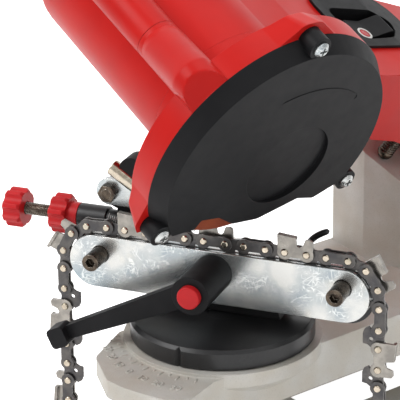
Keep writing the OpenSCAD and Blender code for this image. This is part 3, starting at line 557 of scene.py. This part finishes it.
# CAD nodes of each finish, with the width in millimetres that their edges are rounded by.
NODE_LOOKS: dict[Finishes, dict[str, float]] = {
    Finishes.CASTING: {"stand": 1.2},
    Finishes.BROWNED: {
        "hinge_pin": 0.3, "hinge_nut": 0.3, "vise_screws": 0.2, "rail_bolts": 0.6,
        "stop_arm_bolt": 0.3, "rotor_core": 0.2, "stator": 0.3,
    },
    Finishes.BLACK_PAINT: {
        "turntable": 0.5, "pivot_bolt": 0.3, "vise_body": 0.7, "stop_carriage": 0.4,
    },
    Finishes.BLACK_PLASTIC: {
        "angle_lock_knob": 0.8, "clamp_lever": 0.9, "stop_grip": 0.8, "wheel_cover": 0.8,
        "switch_bezel": 1.4, "switch_body": 0.3, "rocker": 0.6, "cord_gland": 0.5,
        "depth_knob": 0.8, "cooling_fan": 0.3, "carbon_brushes": 0.2,
    },
    Finishes.ZINC: {
        "rear_rail": 0.35, "front_rail": 0.35, "clamp_screw": 0.3, "stop_arm": 0.4,
        "housing_screws": 0.15, "cover_screws": 0.15, "depth_lock_nut": 0.3, "wheel_nut": 0.3,
    },
    Finishes.KNOB_RED: {"lever_button": 0.6, "stop_adjust_knob": 0.7, "stop_lock_knob": 0.7},
    Finishes.BRIGHT_STEEL: {
        "stop_pin": 0.6, "chain_rivets": 0.55, "inner_flange": 0.3, "outer_flange": 0.3,
        "motor_shaft": 0.2, "front_bearing": 0.2, "rear_bearing": 0.2,
    },
    Finishes.CHAIN_STEEL: {"chain_drive_links": 0.12, "chain_tie_straps": 0.18},
    Finishes.CUTTER_STEEL: {"chain_cutters": 0.12},
    Finishes.RED_PLASTIC: {"front_housing": 1.0, "rear_housing": 1.0},
    Finishes.ABRASIVE: {"grinding_wheel": 0.8},
    Finishes.COPPER: {"commutator": 0.2, "brush_holders": 0.2},
}

# Reach within which the points of a mesh are merged, in metres.
MERGE_MADE = 2e-6
MERGE_CAD = 5e-6

# Angles of a CAD mesh in degrees: below the first its facets are one face, above the second
# an edge is rounded.
FLAT_ANGLE = 0.6
EDGE_ANGLE = 32.0
FACE_WEIGHT = 60


def new_object(name: str, mesh: bpy.types.Mesh) -> bpy.types.Object:
    """Links a mesh into the scene as an object at the origin."""
    piece = bpy.data.objects.new(name, mesh)
    bpy.context.scene.collection.objects.link(piece)
    return piece


def surface(
    name: str, points: np.ndarray, round_u: bool = False, round_v: bool = False
) -> bpy.types.Object:
    """Makes a mesh of quads over a grid of points and closes its open ends with a face.

    Args:
        name: Name of the piece.
        points: Array of shape (rows, columns, 3) in metres.
        round_u: Whether the last row meets the first.
        round_v: Whether the last column meets the first.

    Returns:
        The piece, with faces pointing outwards.
    """
    rows, columns = points.shape[:2]
    index = np.arange(rows * columns).reshape(rows, columns)
    if round_u:
        index = np.vstack([index, index[:1]])
    if round_v:
        index = np.hstack([index, index[:, :1]])
    corners = [index[:-1, :-1], index[1:, :-1], index[1:, 1:], index[:-1, 1:]]
    faces: list[Any] = np.stack(corners, -1).reshape(-1, 4).tolist()
    if round_v and not round_u:
        faces += [index[0, :-1].tolist(), index[-1, :-1][::-1].tolist()]
    mesh = bpy.data.meshes.new(name)
    mesh.from_pydata(points.reshape(-1, 3).tolist(), [], faces)
    face_out(mesh)
    mesh.shade_smooth()
    return new_object(name, mesh)


def face_out(mesh: bpy.types.Mesh) -> None:
    """Merges doubles and turns every face outwards.

    Args:
        mesh: Mesh to tidy.
    """
    work = bmesh.new()
    work.from_mesh(mesh)
    bmesh.ops.remove_doubles(work, verts=work.verts, dist=MERGE_MADE)
    bmesh.ops.recalc_face_normals(work, faces=work.faces)
    work.to_mesh(mesh)
    work.free()


def joined(name: str, parts: list[bpy.types.Object]) -> bpy.types.Object:
    """Joins pieces into one object.

    Args:
        name: Name of the result.
        parts: Pieces to join.

    Returns:
        The joined piece.
    """
    work = bmesh.new()
    for part in parts:
        work.from_mesh(part.data)
        bpy.data.objects.remove(part)
    mesh = bpy.data.meshes.new(name)
    work.to_mesh(mesh)
    work.free()
    mesh.shade_smooth()
    return new_object(name, mesh)


@dataclass
class Workshop:
    """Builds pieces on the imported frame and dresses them.

    Args:
        palette: Materials.
    """

    frame: dict[str, Any]
    palette: Palette = field(default_factory=Palette)

    def joint(self, name: str) -> dict[str, Any]:
        """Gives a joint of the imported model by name."""
        return next(j for j in self.frame["joints"] if j["name"] == name)

    def body_of(self, node: str) -> str:
        """Gives the body that carries a CAD node."""
        bodies = self.frame["record"]["behaviour"]["bodies"]
        return next(body for body, nodes in bodies.items() if node in nodes)

    def dress(self, piece: bpy.types.Object, finish: Finishes, body: str) -> bpy.types.Object:
        """Gives a new piece its material and body.

        Args:
            piece: The piece.
            finish: Its finish.
            body: Body that carries it.

        Returns:
            The same piece.
        """
        piece.data.materials.clear()
        piece.data.materials.append(self.palette.get(finish))
        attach(piece, body)
        LOG.info("made %s on %s with %d faces", piece.name, body, len(piece.data.polygons))
        return piece

    def rounded(self, node: str, finish: Finishes, width: float) -> bpy.types.Object:
        """Makes a copy of a CAD node with its sharp edges rounded, which stands for the node.

        Args:
            node: CAD node to copy.
            finish: Finish of the piece.
            width: Width of the rounding in millimetres.

        Returns:
            The piece.
        """
        source = self.frame["nodes"][node]
        work = bmesh.new()
        work.from_mesh(source.data)
        bmesh.ops.remove_doubles(work, verts=work.verts, dist=MERGE_CAD)
        flat = math.radians(FLAT_ANGLE)
        bmesh.ops.dissolve_limit(work, angle_limit=flat, verts=work.verts, edges=work.edges)
        if node == "front_housing":
            slim_swells(work, head_frame(self))
        mesh = bpy.data.meshes.new(node + "_piece")
        work.to_mesh(mesh)
        work.free()
        mesh.shade_smooth()
        piece = new_object(node + "_piece", mesh)
        bevel = piece.modifiers.new("rounding", "BEVEL")
        bevel.width = width * MM
        bevel.segments = 2
        bevel.limit_method = "ANGLE"
        bevel.angle_limit = math.radians(EDGE_ANGLE)
        shading = piece.modifiers.new("shading", "WEIGHTED_NORMAL")
        shading.keep_sharp = True
        shading.weight = FACE_WEIGHT
        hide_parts(node)
        return self.dress(piece, finish, self.body_of(node))


# The swells of the cover's ring, in millimetres along the spindle and from it.
SWELL_SPAN = (-7.25, 5.1)
SWELL_REACH = (60.05, 69.0)
SWELL_FOOT = 60.0

# Share of a swell's height that is kept, at two places along the spindle.
SWELL_PLACES = (-6.0, 4.0)
SWELL_KEEP = (0.35, 0.95)


def slim_swells(work: bmesh.types.BMesh, wheel: LocalFrame) -> None:
    """Draws in the ring's swells round the cover screws, most at their back.

    A point's distance past the ring's radius is multiplied by the kept share, which grows
    evenly from the first to the second of its places.

    Args:
        work: Mesh of the front housing.
        wheel: Head frame.
    """
    points = np.array([v.co for v in work.verts])
    local = (points - wheel.origin) @ wheel.axes.T / MM
    along, reach = local[:, 0], np.hypot(local[:, 1], local[:, 2])
    inside = (along > SWELL_SPAN[0]) & (along < SWELL_SPAN[1])
    inside &= (reach > SWELL_REACH[0]) & (reach < SWELL_REACH[1])
    keep = np.interp(along, SWELL_PLACES, SWELL_KEEP)
    slimmed = (SWELL_FOOT + (reach - SWELL_FOOT) * keep) / np.maximum(reach, 1.0)
    local[:, 1:] *= np.where(inside, slimmed, 1.0)[:, None]
    for vertex, place in zip(work.verts, wheel.place(local)):
        vertex.co = place


@dataclass
class Head:
    """The motor head: depth screw, switch mark, tower's end and the cover's raised line.

    Places are in millimetres: along the spindle, across it and up the wheel.

    Args:
        shop: Builder.
        wheel: Head frame, x along the spindle, z up the wheel.
        depth_radius: Radius of the depth screw.
        depth_pitch: Pitch of its thread.
        depth_length: Length from its ball to its knob.
        depth_lean: Its lean in degrees.
        depth_tip: Point of its tip.
        depth_gap: Gap between the ball and that point.
        rocker_middle: Point of the rocker's face over its pin.
        rocker_front: Point of its face at the raised front end.
        mark_reach: Distance of the ring's middle from the first point.
        mark_size: Half width and half length of the ring.
        mark_bar: Half width and half height of the ring's bar.
        fill_share: Size of the red middle as a share of the ring.
        fill_heights: Heights of the middle's underside, rim and crown rise.
        tower_middle: Middle of the cable tower across the spindle.
        tower_nose: Middle of its end on the ring.
        tower_radius: Radius of the tower.
        tower_cover: How far the tower's end stands round it.
        tower_sunk: How far the end's start lies inside the tower.
        tower_rise: Where the end starts to rise, and over which length.
        tower_start: Where its first cross-section stands.
        tower_growth: How many times as fast as it rises it grows to its full radius.
        ring_span: Back and front of the cover's ring along the spindle.
        ring_room: Gap that cross-sections leave on each side of the ring's back.
        ring_wall: Radius inside the ring's wall.
        slope_start: Where the sloping end starts.
        slope_foot: Radius at which it ends.
        slope_room: Room left above the tower where it starts.
        cover_face: Place of the cover's face along the spindle.
        line_middle: Middle of the raised line's arc.
        line_radius: Radius of that arc.
        line_span: Its first and last direction in degrees.
        hook_radius: Radius of the hook at its end.
        hook_span: Its first and last direction in degrees.
        line_width: Radius of the line itself.
    """

    shop: Workshop
    wheel: LocalFrame
    depth_radius: float = 4.0
    depth_pitch: float = 1.25
    depth_length: float = 78.0
    depth_lean: float = 23.0
    depth_tip: Point = (-19.0, 117.0, -64.6)
    depth_gap: float = 0.05
    rocker_middle: Point = (-36.5, 92.0, 5.6)
    rocker_front: Point = (-36.5, 80.4, 9.0)
    mark_reach: float = 3.9
    mark_size: Range = (3.3, 3.6)
    mark_bar: Range = (0.62, 0.2)
    fill_share: float = 0.86
    fill_heights: Point = (-0.1, 0.05, 0.16)
    tower_middle: Range = (-32.6, 26.4)
    tower_nose: Range = (-44.2, 39.4)
    tower_radius: float = 9.7
    tower_cover: float = 0.05
    tower_sunk: float = 1.2
    tower_rise: Range = (-43.5, 36.0)
    tower_start: float = -43.8
    tower_growth: float = 6.0
    ring_span: Range = (-7.2, 4.9)
    ring_room: float = 0.2
    ring_wall: float = 58.9
    slope_start: float = -2.2
    slope_foot: float = 59.6
    slope_room: float = 0.2
    cover_face: float = 13.3
    line_middle: Range = (5.9, -12.5)
    line_radius: float = 48.2
    line_span: Range = (109.5, 54.5)
    hook_radius: float = 1.5
    hook_span: Range = (50.0, -70.0)
    line_width: float = 0.3

    def build(self) -> None:
        """Makes the head's pieces."""
        self.depth_thread()
        self.switch_mark()
        self.cover_line()
        self.tower_shoulder()

    def depth_thread(self) -> None:
        """Cuts a thread into the depth screw, between its round tip and its knob."""
        lean = math.radians(self.depth_lean)
        x, y, z = self.depth_tip
        tip = (x, y, z + self.depth_radius + self.depth_gap)
        up = np.array([0.0, math.sin(lean), math.cos(lean)])
        along = self.wheel.turned(tip, X_AXIS, np.cross(up, X_AXIS))
        size = (self.depth_radius, self.depth_pitch)
        rod = threaded_rod("depth_screw_thread", along, *size, (0.0, self.depth_length), True)
        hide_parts("depth_screw")
        self.shop.dress(rod, Finishes.BROWNED, "depth_screw")

    def switch_mark(self) -> None:
        """Lays a white ring with a red middle on the raised half of the rocker.

        The ring's middle line is an ellipse, and a flat ellipse is carried along it. The red
        middle is a low dome.
        """
        turn, ring = turns(72)[:, None], turns(12)[None, :, None]
        low, high = np.array(self.rocker_middle), np.array(self.rocker_front)
        slope = unit(high - low)
        centre = low + slope * self.mark_reach
        normal = np.cross(X_AXIS, slope)
        normal = normal * np.sign(normal[2])
        half_width, half_length = self.mark_size
        spokes = half_length * np.cos(turn) * slope + half_width * np.sin(turn) * X_AXIS
        middle = (centre + spokes)[:, None]
        bar = self.mark_bar[0] * np.cos(ring) * unit(spokes)[:, None]
        points = middle + bar + self.mark_bar[1] * np.sin(ring) * normal
        piece = surface("switch_off_mark", self.wheel.place(points), round_u=True, round_v=True)
        self.shop.dress(piece, Finishes.WHITE_MARK, "rocker")
        share = np.linspace(1.0, 0.0, 6)[:, None, None]
        under, rim, crown = self.fill_heights
        rise = rim + crown * np.sqrt(np.clip(1.0 - share**2, 0.0, 1.0))
        rays = spokes[None] * self.fill_share
        dome = [centre + rays + under * normal, centre + share * rays + rise * normal]
        points = self.wheel.place(np.concatenate(dome))
        fill = surface("switch_mark_fill", points, round_v=True)
        self.shop.dress(fill, Finishes.ROCKER_RED, "rocker")

    def tower_shoulder(self) -> None:
        """Carries the cable tower on over the cover's ring, down to a sloping end.

        Each cross-section is a circle that grows out of the tower while its middle moves out to
        the ring in even steps. Points that fall inside the ring are pushed out to its wall, and
        points above the sloping end are pushed down to it.
        """
        back, front = self.ring_span
        before = np.linspace(self.tower_start, back - self.ring_room, 40)
        along = np.concatenate([before, np.linspace(back + self.ring_room, front, 14)])
        step = np.clip((along - self.tower_rise[0]) / self.tower_rise[1], 0.0, 1.0)
        low, high = np.array(self.tower_middle), np.array(self.tower_nose)
        middle = low + step[:, None] * (high - low)
        sunk = self.tower_sunk * np.clip(1.0 - self.tower_growth * step, 0.0, 1.0)
        radius = self.tower_radius + self.tower_cover - sunk
        turn = turns(56)
        circle = np.stack([np.cos(turn), np.sin(turn)], 1)
        flat = middle[:, None] + circle[None] * radius[:, None, None]
        outward = unit(high)
        top = high @ outward + self.tower_radius + self.slope_room
        fall = (top - self.slope_foot) / (front - self.slope_start)
        slope = top - np.clip(along - self.slope_start, 0.0, None) * fall
        above = np.clip(flat @ outward - slope[:, None], 0.0, None)
        flat = flat - above[..., None] * outward
        reach = np.linalg.norm(flat, axis=-1)
        wall = np.where(along > back, self.ring_wall, 0.0)[:, None]
        flat = flat * (np.maximum(reach, wall) / reach)[..., None]
        depth = np.broadcast_to(along[:, None, None], (*flat.shape[:2], 1))
        points = self.wheel.place(np.concatenate([depth, flat], -1))
        piece = surface("tower_shoulder", points, round_v=True)
        piece.data.set_sharp_from_angle(angle=math.radians(EDGE_ANGLE))
        self.shop.dress(piece, Finishes.RED_PLASTIC, "head")

    def cover_line(self) -> None:
        """Raises the thin curved line on the cover's face, an arc with a short hook at its end."""
        arc = np.array(self.line_middle) + arc_points(self.line_radius, self.line_span, 48)
        hook = arc_points(self.hook_radius, self.hook_span, 10)
        flat = np.concatenate([arc, arc[-1] + hook[1:] - hook[0]])
        middle = np.concatenate([np.full((len(flat), 1), self.cover_face), flat], 1)
        piece = tube("cover_raised_line", self.wheel, middle, self.line_width)
        self.shop.dress(piece, Finishes.BLACK_PLASTIC, "head")


def arc_points(radius: float, span: Range, count: int) -> np.ndarray:
    """Gives points on an arc round zero, between two directions in degrees."""
    turn = np.radians(np.linspace(*span, count))
    return radius * np.stack([np.cos(turn), np.sin(turn)], 1)


# Depth of a thread as a share of its pitch, and points along and round one turn.
THREAD_DEPTH = 0.6
THREAD_ROWS = 6
THREAD_COLUMNS = 32


def threaded_rod(
    name: str, along: LocalFrame, radius: float, pitch: float, span: Range, ball: bool = False
) -> bpy.types.Object:
    """Makes a rod with a helical thread.

    The radius at height z and turn t is the outer radius less the depth times a triangle wave of
    z / pitch - t / 2 pi, faded out at the ends.

    Args:
        name: Name of the piece.
        along: Frame whose z axis is the rod's axis.
        radius: Outer radius in millimetres.
        pitch: Rise of the thread in one turn.
        span: Where the rod starts and ends along z.
        ball: Whether a half ball closes the start.

    Returns:
        The piece.
    """
    start, end = span
    turn = turns(THREAD_COLUMNS)
    height = np.linspace(start, end, int((end - start) / pitch * THREAD_ROWS) + 1)
    grid_z, grid_t = np.meshgrid(height, turn, indexing="ij")
    wave = np.abs(((grid_z / pitch - grid_t / (2 * math.pi)) % 1.0) * 2.0 - 1.0)
    fade = np.clip(np.minimum(grid_z - start, end - grid_z) / pitch, 0.0, 1.0)
    radii = radius - THREAD_DEPTH * pitch * wave * fade
    if ball:
        rise = np.radians(np.linspace(-90.0, 0.0, 8)[:-1])[:, None]
        wide = np.ones((1, THREAD_COLUMNS))
        grid_z = np.vstack([(start + radius * np.sin(rise)) * wide, grid_z])
        radii = np.vstack([(radius * np.cos(rise) + 0.01) * wide, radii])
    points = np.stack([radii * np.cos(turn), radii * np.sin(turn), grid_z], -1)
    return surface(name, along.place(points), round_v=True)


# Exponent by which a tube's ends are drawn in, and the square of the share left at its tip.
TUBE_BLUNTNESS = 16
TUBE_TIP = 0.02


def tube(
    name: str, local: LocalFrame, middle: np.ndarray, radius: float, guide: np.ndarray = X_AXIS
) -> bpy.types.Object:
    """Makes a thin tube along a line, with its ends drawn in.

    A point is the middle line's point plus the radius times the cosine and sine of the turn,
    along two directions square to the line.

    Args:
        name: Name of the piece.
        local: Frame that the line is given in.
        middle: Points of the line in millimetres, shape (n, 3).
        radius: Radius of the tube in millimetres.
        guide: Direction that the line never takes.

    Returns:
        The piece.
    """
    ahead = unit(np.gradient(middle, axis=0))
    side = unit(np.cross(ahead, guide))
    upward = np.cross(side, ahead)
    turn = turns(10)[None, :, None]
    share = np.linspace(-1.0, 1.0, len(middle))
    radii = radius * np.sqrt(np.clip(1.0 - share**TUBE_BLUNTNESS, TUBE_TIP, 1.0))
    ring = np.cos(turn) * side[:, None] + np.sin(turn) * upward[:, None]
    return surface(name, local.place(middle[:, None] + radii[:, None, None] * ring), round_v=True)


def pill(length: float, width: float, height: float) -> np.ndarray:
    """Gives a low rounded bar, lying along x on the plane z = 0.

    A point is a superellipsoid of exponent 4 in the plane and 2 in height.

    Args:
        length: Length in millimetres.
        width: Width in millimetres.
        height: Height in millimetres.

    Returns:
        Points of shape (rows, columns, 3).
    """
    rise = np.linspace(-0.5 * math.pi, 0.5 * math.pi, 7)
    grid_r, grid_a = np.meshgrid(rise, turns(20), indexing="ij")
    c, s = np.cos(grid_a), np.sin(grid_a)
    flat = np.cos(grid_r)
    x = 0.5 * length * np.sign(c) * np.abs(c) ** 0.5 * flat
    y = 0.5 * width * np.sign(s) * np.abs(s) ** 0.5 * flat
    return np.stack([x, y, height * np.sin(grid_r)], -1)


@dataclass
class AngleScale:
    """Raised marks and plain numbers on the stand, round the turntable.

    Args:
        shop: Builder.
        height: Height of the scale's face above the bench in millimetres.
        zero: Direction of the zero mark in degrees.
        marks: First and last mark from the zero in degrees, and their pitch.
        inner: Inner radius of the marks in millimetres.
        mark_size: Length, width and height of a long mark in millimetres.
        short: Length of a short mark as a share of a long one.
        number_radius: Radius at which the middle number stands.
        number_drift: Growth of that radius from one number to the next.
        number_zero: Direction of the middle number in degrees.
        number_pitch: Angle between two numbers.
        number_steps: Numbers on each side of the middle one.
        number_size: Size, half thickness and bevel of a number in millimetres.
    """

    shop: Workshop
    height: float = 60.5
    zero: float = -88.0
    marks: Point = (-40.0, 35.0, 5.0)
    inner: float = 46.5
    mark_size: Point = (4.6, 0.95, 0.6)
    short: float = 0.45
    number_radius: float = 55.9
    number_drift: float = 0.8
    number_zero: float = -86.2
    number_pitch: float = 8.95
    number_steps: int = 3
    number_size: Point = (5.0, 0.38, 0.14)

    def build(self) -> None:
        """Makes marks and numbers."""
        first, last, pitch = self.marks
        bars = [self.mark(angle) for angle in np.arange(first, last + 0.5 * pitch, pitch)]
        self.shop.dress(joined("angle_scale_marks", bars), Finishes.CASTING, "stand")
        steps = range(-self.number_steps, self.number_steps + 1)
        numbers = [self.number(step) for step in steps]
        self.shop.dress(joined("angle_scale_numbers", numbers), Finishes.CASTING, "stand")

    def mark(self, angle: float) -> bpy.types.Object:
        """Makes one mark.

        Args:
            angle: Angle from the zero mark in degrees.

        Returns:
            The mark.
        """
        length, width, height = self.mark_size
        length *= self.short if angle % 10 == 0 else 1.0
        direction = math.radians(self.zero + angle)
        ahead = np.array([math.cos(direction), math.sin(direction), 0.0])
        axes = np.stack([ahead, np.cross(Z_AXIS, ahead), Z_AXIS])
        points = pill(length, width, height) + [self.inner + length / 2, 0.0, self.height]
        return surface("mark", points @ axes * MM, round_v=True)

    def number(self, step: int) -> bpy.types.Object:
        """Makes one number, read from outside the scale.

        The numbers stand on an arc that closes in on the turntable towards the left.

        Args:
            step: Place from the zero, one for each ten degrees.

        Returns:
            The number.
        """
        text = bpy.data.curves.new("number", "FONT")
        text.body = str(abs(step) * 10)
        text.align_x, text.align_y = "CENTER", "CENTER"
        text.size, text.extrude, text.bevel_depth = (size * MM for size in self.number_size)
        holder = bpy.data.objects.new("number", text)
        bpy.context.scene.collection.objects.link(holder)
        graph = bpy.context.evaluated_depsgraph_get()
        mesh = bpy.data.meshes.new_from_object(holder.evaluated_get(graph))
        bpy.data.objects.remove(holder)
        direction = math.radians(self.number_zero + self.number_pitch * step)
        radius = self.number_radius + self.number_drift * step
        spot = (radius * math.cos(direction), radius * math.sin(direction), self.height)
        place = Matrix.Translation(Vector(spot) * MM)
        mesh.transform(place @ Matrix.Rotation(direction + math.pi / 2, 4, "Z"))
        return new_object("number", mesh)


@dataclass
class ChainStop:
    """Thread and graduations of the chain stop, and the guide rod beside it.

    Sizes are in millimetres. Places are along the rails, behind them and above the seat.

    Args:
        shop: Builder.
        vise: Vise frame, x along the rails, z above the seat.
        axis_y: Place of the screw behind the rails.
        axis_z: Height of the screw above the seat.
        screw_radius: Radius of the screw.
        screw_pitch: Pitch of its thread.
        screw_span: Start and end of the screw along the rails.
        sleeve_radius: Radius of the graduated sleeve.
        lines: First line, end and pitch of the graduations along the rails.
        line_reach: Half length of a common line and of each fifth one.
        line_turn: Direction in degrees in which the lines lie round the sleeve.
        line_lift: How far a line's middle stands off the sleeve.
        line_radius: Half thickness of a line.
        rod_y: Place of the guide rod behind the rails.
        rod_radius: Radius of the guide rod.
        rod_points: Four control points of its curve, along and up.
    """

    shop: Workshop
    vise: LocalFrame
    axis_y: float = 16.0
    axis_z: float = 40.5
    screw_radius: float = 3.0
    screw_pitch: float = 1.0
    screw_span: Range = (-111.2, -47.0)
    sleeve_radius: float = 4.9
    lines: Point = (-60.5, -46.0, 1.0)
    line_reach: Range = (2.2, 3.6)
    line_turn: float = 200.0
    line_lift: float = 0.02
    line_radius: float = 0.14
    rod_y: float = 11.8
    rod_radius: float = 1.5
    rod_points: tuple[Range, ...] = ((34.6, 30.0), (34.2, 43.0), (36.8, 46.8), (46.2, 51.0))

    def build(self) -> None:
        """Makes the thread, the lines and the rod."""
        along = self.vise.turned((0.0, self.axis_y, self.axis_z), Y_AXIS, Z_AXIS)
        size = (self.screw_radius, self.screw_pitch)
        screw = threaded_rod("stop_screw_thread", along, *size, self.screw_span)
        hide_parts("stop_screw")
        self.shop.dress(screw, Finishes.BROWNED, "stop_screw")
        common, fifth = self.line_reach
        places = enumerate(np.arange(*self.lines))
        marks = [self.ring_mark(at, common if index % 5 else fifth) for index, at in places]
        self.shop.dress(joined("stop_sleeve_marks", marks), Finishes.WHITE_MARK, "stop_carriage")
        self.guide_rod()

    def guide_rod(self) -> None:
        """Bends the chain guide rod up from the vise's beam in one smooth cubic curve."""
        t = np.linspace(0.0, 1.0, 40)[:, None]
        shares = ((1 - t) ** 3, 3 * (1 - t) ** 2 * t, 3 * (1 - t) * t**2, t**3)
        blend = sum(share * np.array(knot) for share, knot in zip(shares, self.rod_points))
        middle = np.insert(blend, 1, self.rod_y, axis=1)
        rod = tube("chain_guide_rod_bent", self.vise, middle, self.rod_radius, Y_AXIS)
        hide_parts("chain_guide_rod")
        self.shop.dress(rod, Finishes.BLACK_PAINT, self.shop.body_of("chain_guide_rod"))

    def ring_mark(self, at: float, reach: float) -> bpy.types.Object:
        """Makes one white line round part of the sleeve.

        Args:
            at: Place along the rails in millimetres.
            reach: Half length of the line in millimetres.

        Returns:
            The line.
        """
        centre, half = math.radians(self.line_turn), reach / self.sleeve_radius
        turn = np.linspace(centre - half, centre + half, 14)
        radius = self.sleeve_radius + self.line_lift
        across, up = self.axis_y + radius * np.cos(turn), self.axis_z - radius * np.sin(turn)
        middle = np.stack([np.full_like(turn, at), across, up], 1)
        return tube("line", self.vise, middle, self.line_radius)


@dataclass
class Studio:
    """Camera, floor and soft light.

    Args:
        azimuth: Direction of the camera in degrees.
        elevation: Elevation of the camera in degrees.
        roll: Roll of the camera in degrees.
        lens: Lens in millimetres on a 36 mm sensor.
        place: Place of the camera in metres.
        floor_reach: Half width of the floor, and its run towards the camera, in metres.
        floor_run: Run of the floor away from the camera.
        floor_bend: Radius of the bend that leads up to the backdrop.
        floor_rise: Height of the backdrop.
        floor_gap: Gap between the floor and the foot of the grinder.
        floor_glow: Light that the floor gives to the camera and to reflections.
        aim: Point that the lamps look at.
        lamps: Name, place, size and power in watts of each lamp.
        sky: Strength of the world in plain light, and as seen or reflected.
    """

    azimuth: float = 51.664
    elevation: float = 20.987
    roll: float = -0.689
    lens: float = 183.82
    place: Point = (0.65371, -0.52921, 0.44851)
    floor_reach: float = 6.0
    floor_run: float = 3.0
    floor_bend: float = 1.2
    floor_rise: float = 6.0
    floor_gap: float = 0.0004
    floor_glow: float = 0.95
    aim: Point = (-0.02, 0.03, 0.11)
    lamps: tuple[tuple[str, Point, float, float], ...] = (
        ("key", (-0.5, -1.1, 1.3), 0.9, 15.0),
        ("fill", (1.4, -0.3, 0.9), 1.2, 5.0),
        ("top", (0.1, 0.4, 1.8), 1.4, 11.0),
    )
    sky: Range = (0.4, 1.0)

    def build(self) -> None:
        """Makes the stage."""
        self.camera()
        self.floor()
        self.lights()
        self.world()
        bpy.context.scene.view_settings.view_transform = "Standard"

    def camera(self) -> None:
        """Places the camera as the photograph was taken."""
        a, e, roll = (math.radians(v) for v in (self.azimuth, self.elevation, self.roll))
        right = np.array([math.cos(a), math.sin(a), 0.0])
        back = np.array([math.sin(a) * math.cos(e), -math.cos(a) * math.cos(e), math.sin(e)])
        up = np.cross(back, right)
        side = math.cos(roll) * right + math.sin(roll) * up
        top = -math.sin(roll) * right + math.cos(roll) * up
        data = bpy.data.cameras.new("camera")
        data.lens, data.sensor_width = self.lens, 36.0
        data.clip_start, data.clip_end = 0.02, 20.0
        camera = bpy.data.objects.new("camera", data)
        axes = Matrix(np.stack([side, top, back], 1)).to_4x4()
        camera.matrix_world = Matrix.Translation(self.place) @ axes
        bpy.context.scene.collection.objects.link(camera)
        bpy.context.scene.camera = camera

    def floor(self) -> None:
        """Lays a pale floor that runs up into a backdrop."""
        along = np.linspace(-self.floor_reach, self.floor_reach, 9)
        bend = np.linspace(0.0, 0.5 * math.pi, 13)[1:]
        ahead = self.floor_run + self.floor_bend * np.sin(bend)
        upward = self.floor_bend * (1.0 - np.cos(bend))
        end = self.floor_run + self.floor_bend
        run = np.concatenate([[-self.floor_reach, 0.0, self.floor_run], ahead, [end]])
        rise = np.concatenate([[0.0, 0.0, 0.0], upward, [self.floor_rise]])
        grid_x, grid_i = np.meshgrid(along, np.arange(len(run)), indexing="ij")
        turn = math.radians(self.azimuth)
        depth, height = run[grid_i], rise[grid_i] - self.floor_gap
        x = grid_x * math.cos(turn) - depth * math.sin(turn)
        y = grid_x * math.sin(turn) + depth * math.cos(turn)
        floor = surface("floor", np.stack([x, y, height], -1))
        graph = Graph("pale_floor")
        seen = self.seen(graph, "Is Camera Ray", "Is Glossy Ray", "Is Transmission Ray")
        graph.shade({
            "Base Color": (0.9, 0.9, 0.9),
            "Roughness": 0.7,
            "Emission Color": (1.0, 1.0, 1.0),
            "Emission Strength": graph.times(seen, self.floor_glow),
        })
        floor.data.materials.append(graph.material)

    def seen(self, nodes: Nodes, *rays: str) -> Socket:
        """Gives 1 for rays of the named kinds and 0 for others.

        Args:
            nodes: Tree to add to.
            rays: Names of the kinds.

        Returns:
            The socket.
        """
        path = nodes.add("LightPath").outputs
        total = path[rays[0]]
        for ray in rays[1:]:
            total = nodes.larger(total, path[ray])
        return total

    def lights(self) -> None:
        """Hangs large soft lamps round the grinder."""
        for name, place, size, power in self.lamps:
            data = bpy.data.lights.new(name, "AREA")
            data.size, data.energy = size, power
            lamp = bpy.data.objects.new(name, data)
            turn = (Vector(self.aim) - Vector(place)).to_track_quat("-Z", "Y")
            lamp.matrix_world = Matrix.Translation(place) @ turn.to_matrix().to_4x4()
            bpy.context.scene.collection.objects.link(lamp)

    def world(self) -> None:
        """Makes a soft world that looks white to the camera and in reflections."""
        world = bpy.data.worlds.new("studio")
        world.use_nodes = True
        bpy.context.scene.world = world
        nodes = Nodes(world.node_tree)
        strength = nodes.spread(self.seen(nodes, "Is Camera Ray", "Is Glossy Ray"), *self.sky)
        background = nodes.add("Background", {"Strength": strength})
        nodes.add("OutputWorld", {"Surface": background.outputs["Background"]})


def head_frame(shop: Workshop) -> LocalFrame:
    """Reads the head's frame from the wheel's joint."""
    joint = shop.joint("wheel_spin")
    x = unit(np.array(joint["axis"], float))
    return LocalFrame(np.array(joint["pos_m"], float), x, Y_AXIS, np.cross(x, Y_AXIS))


def vise_frame(shop: Workshop) -> LocalFrame:
    """Reads the vise's frame from its turning joint and the stop's slide."""
    x = unit(np.array(shop.joint("stop_carriage_slide")["axis"], float))
    seat = np.array(shop.joint("vise_turn")["pos_m"], float)
    return LocalFrame(seat, x, np.cross(Z_AXIS, x), Z_AXIS)


def main() -> None:
    """Builds the grinder's looks in order."""
    logging.basicConfig(level=logging.INFO, format="%(name)s: %(message)s")
    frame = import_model()
    Studio().build()
    shop = Workshop(frame)
    for finish, widths in NODE_LOOKS.items():
        for node, width in widths.items():
            shop.rounded(node, finish, width)
    Head(shop, head_frame(shop)).build()
    AngleScale(shop).build()
    ChainStop(shop, vise_frame(shop)).build()


if __name__ == "__main__":
    main()
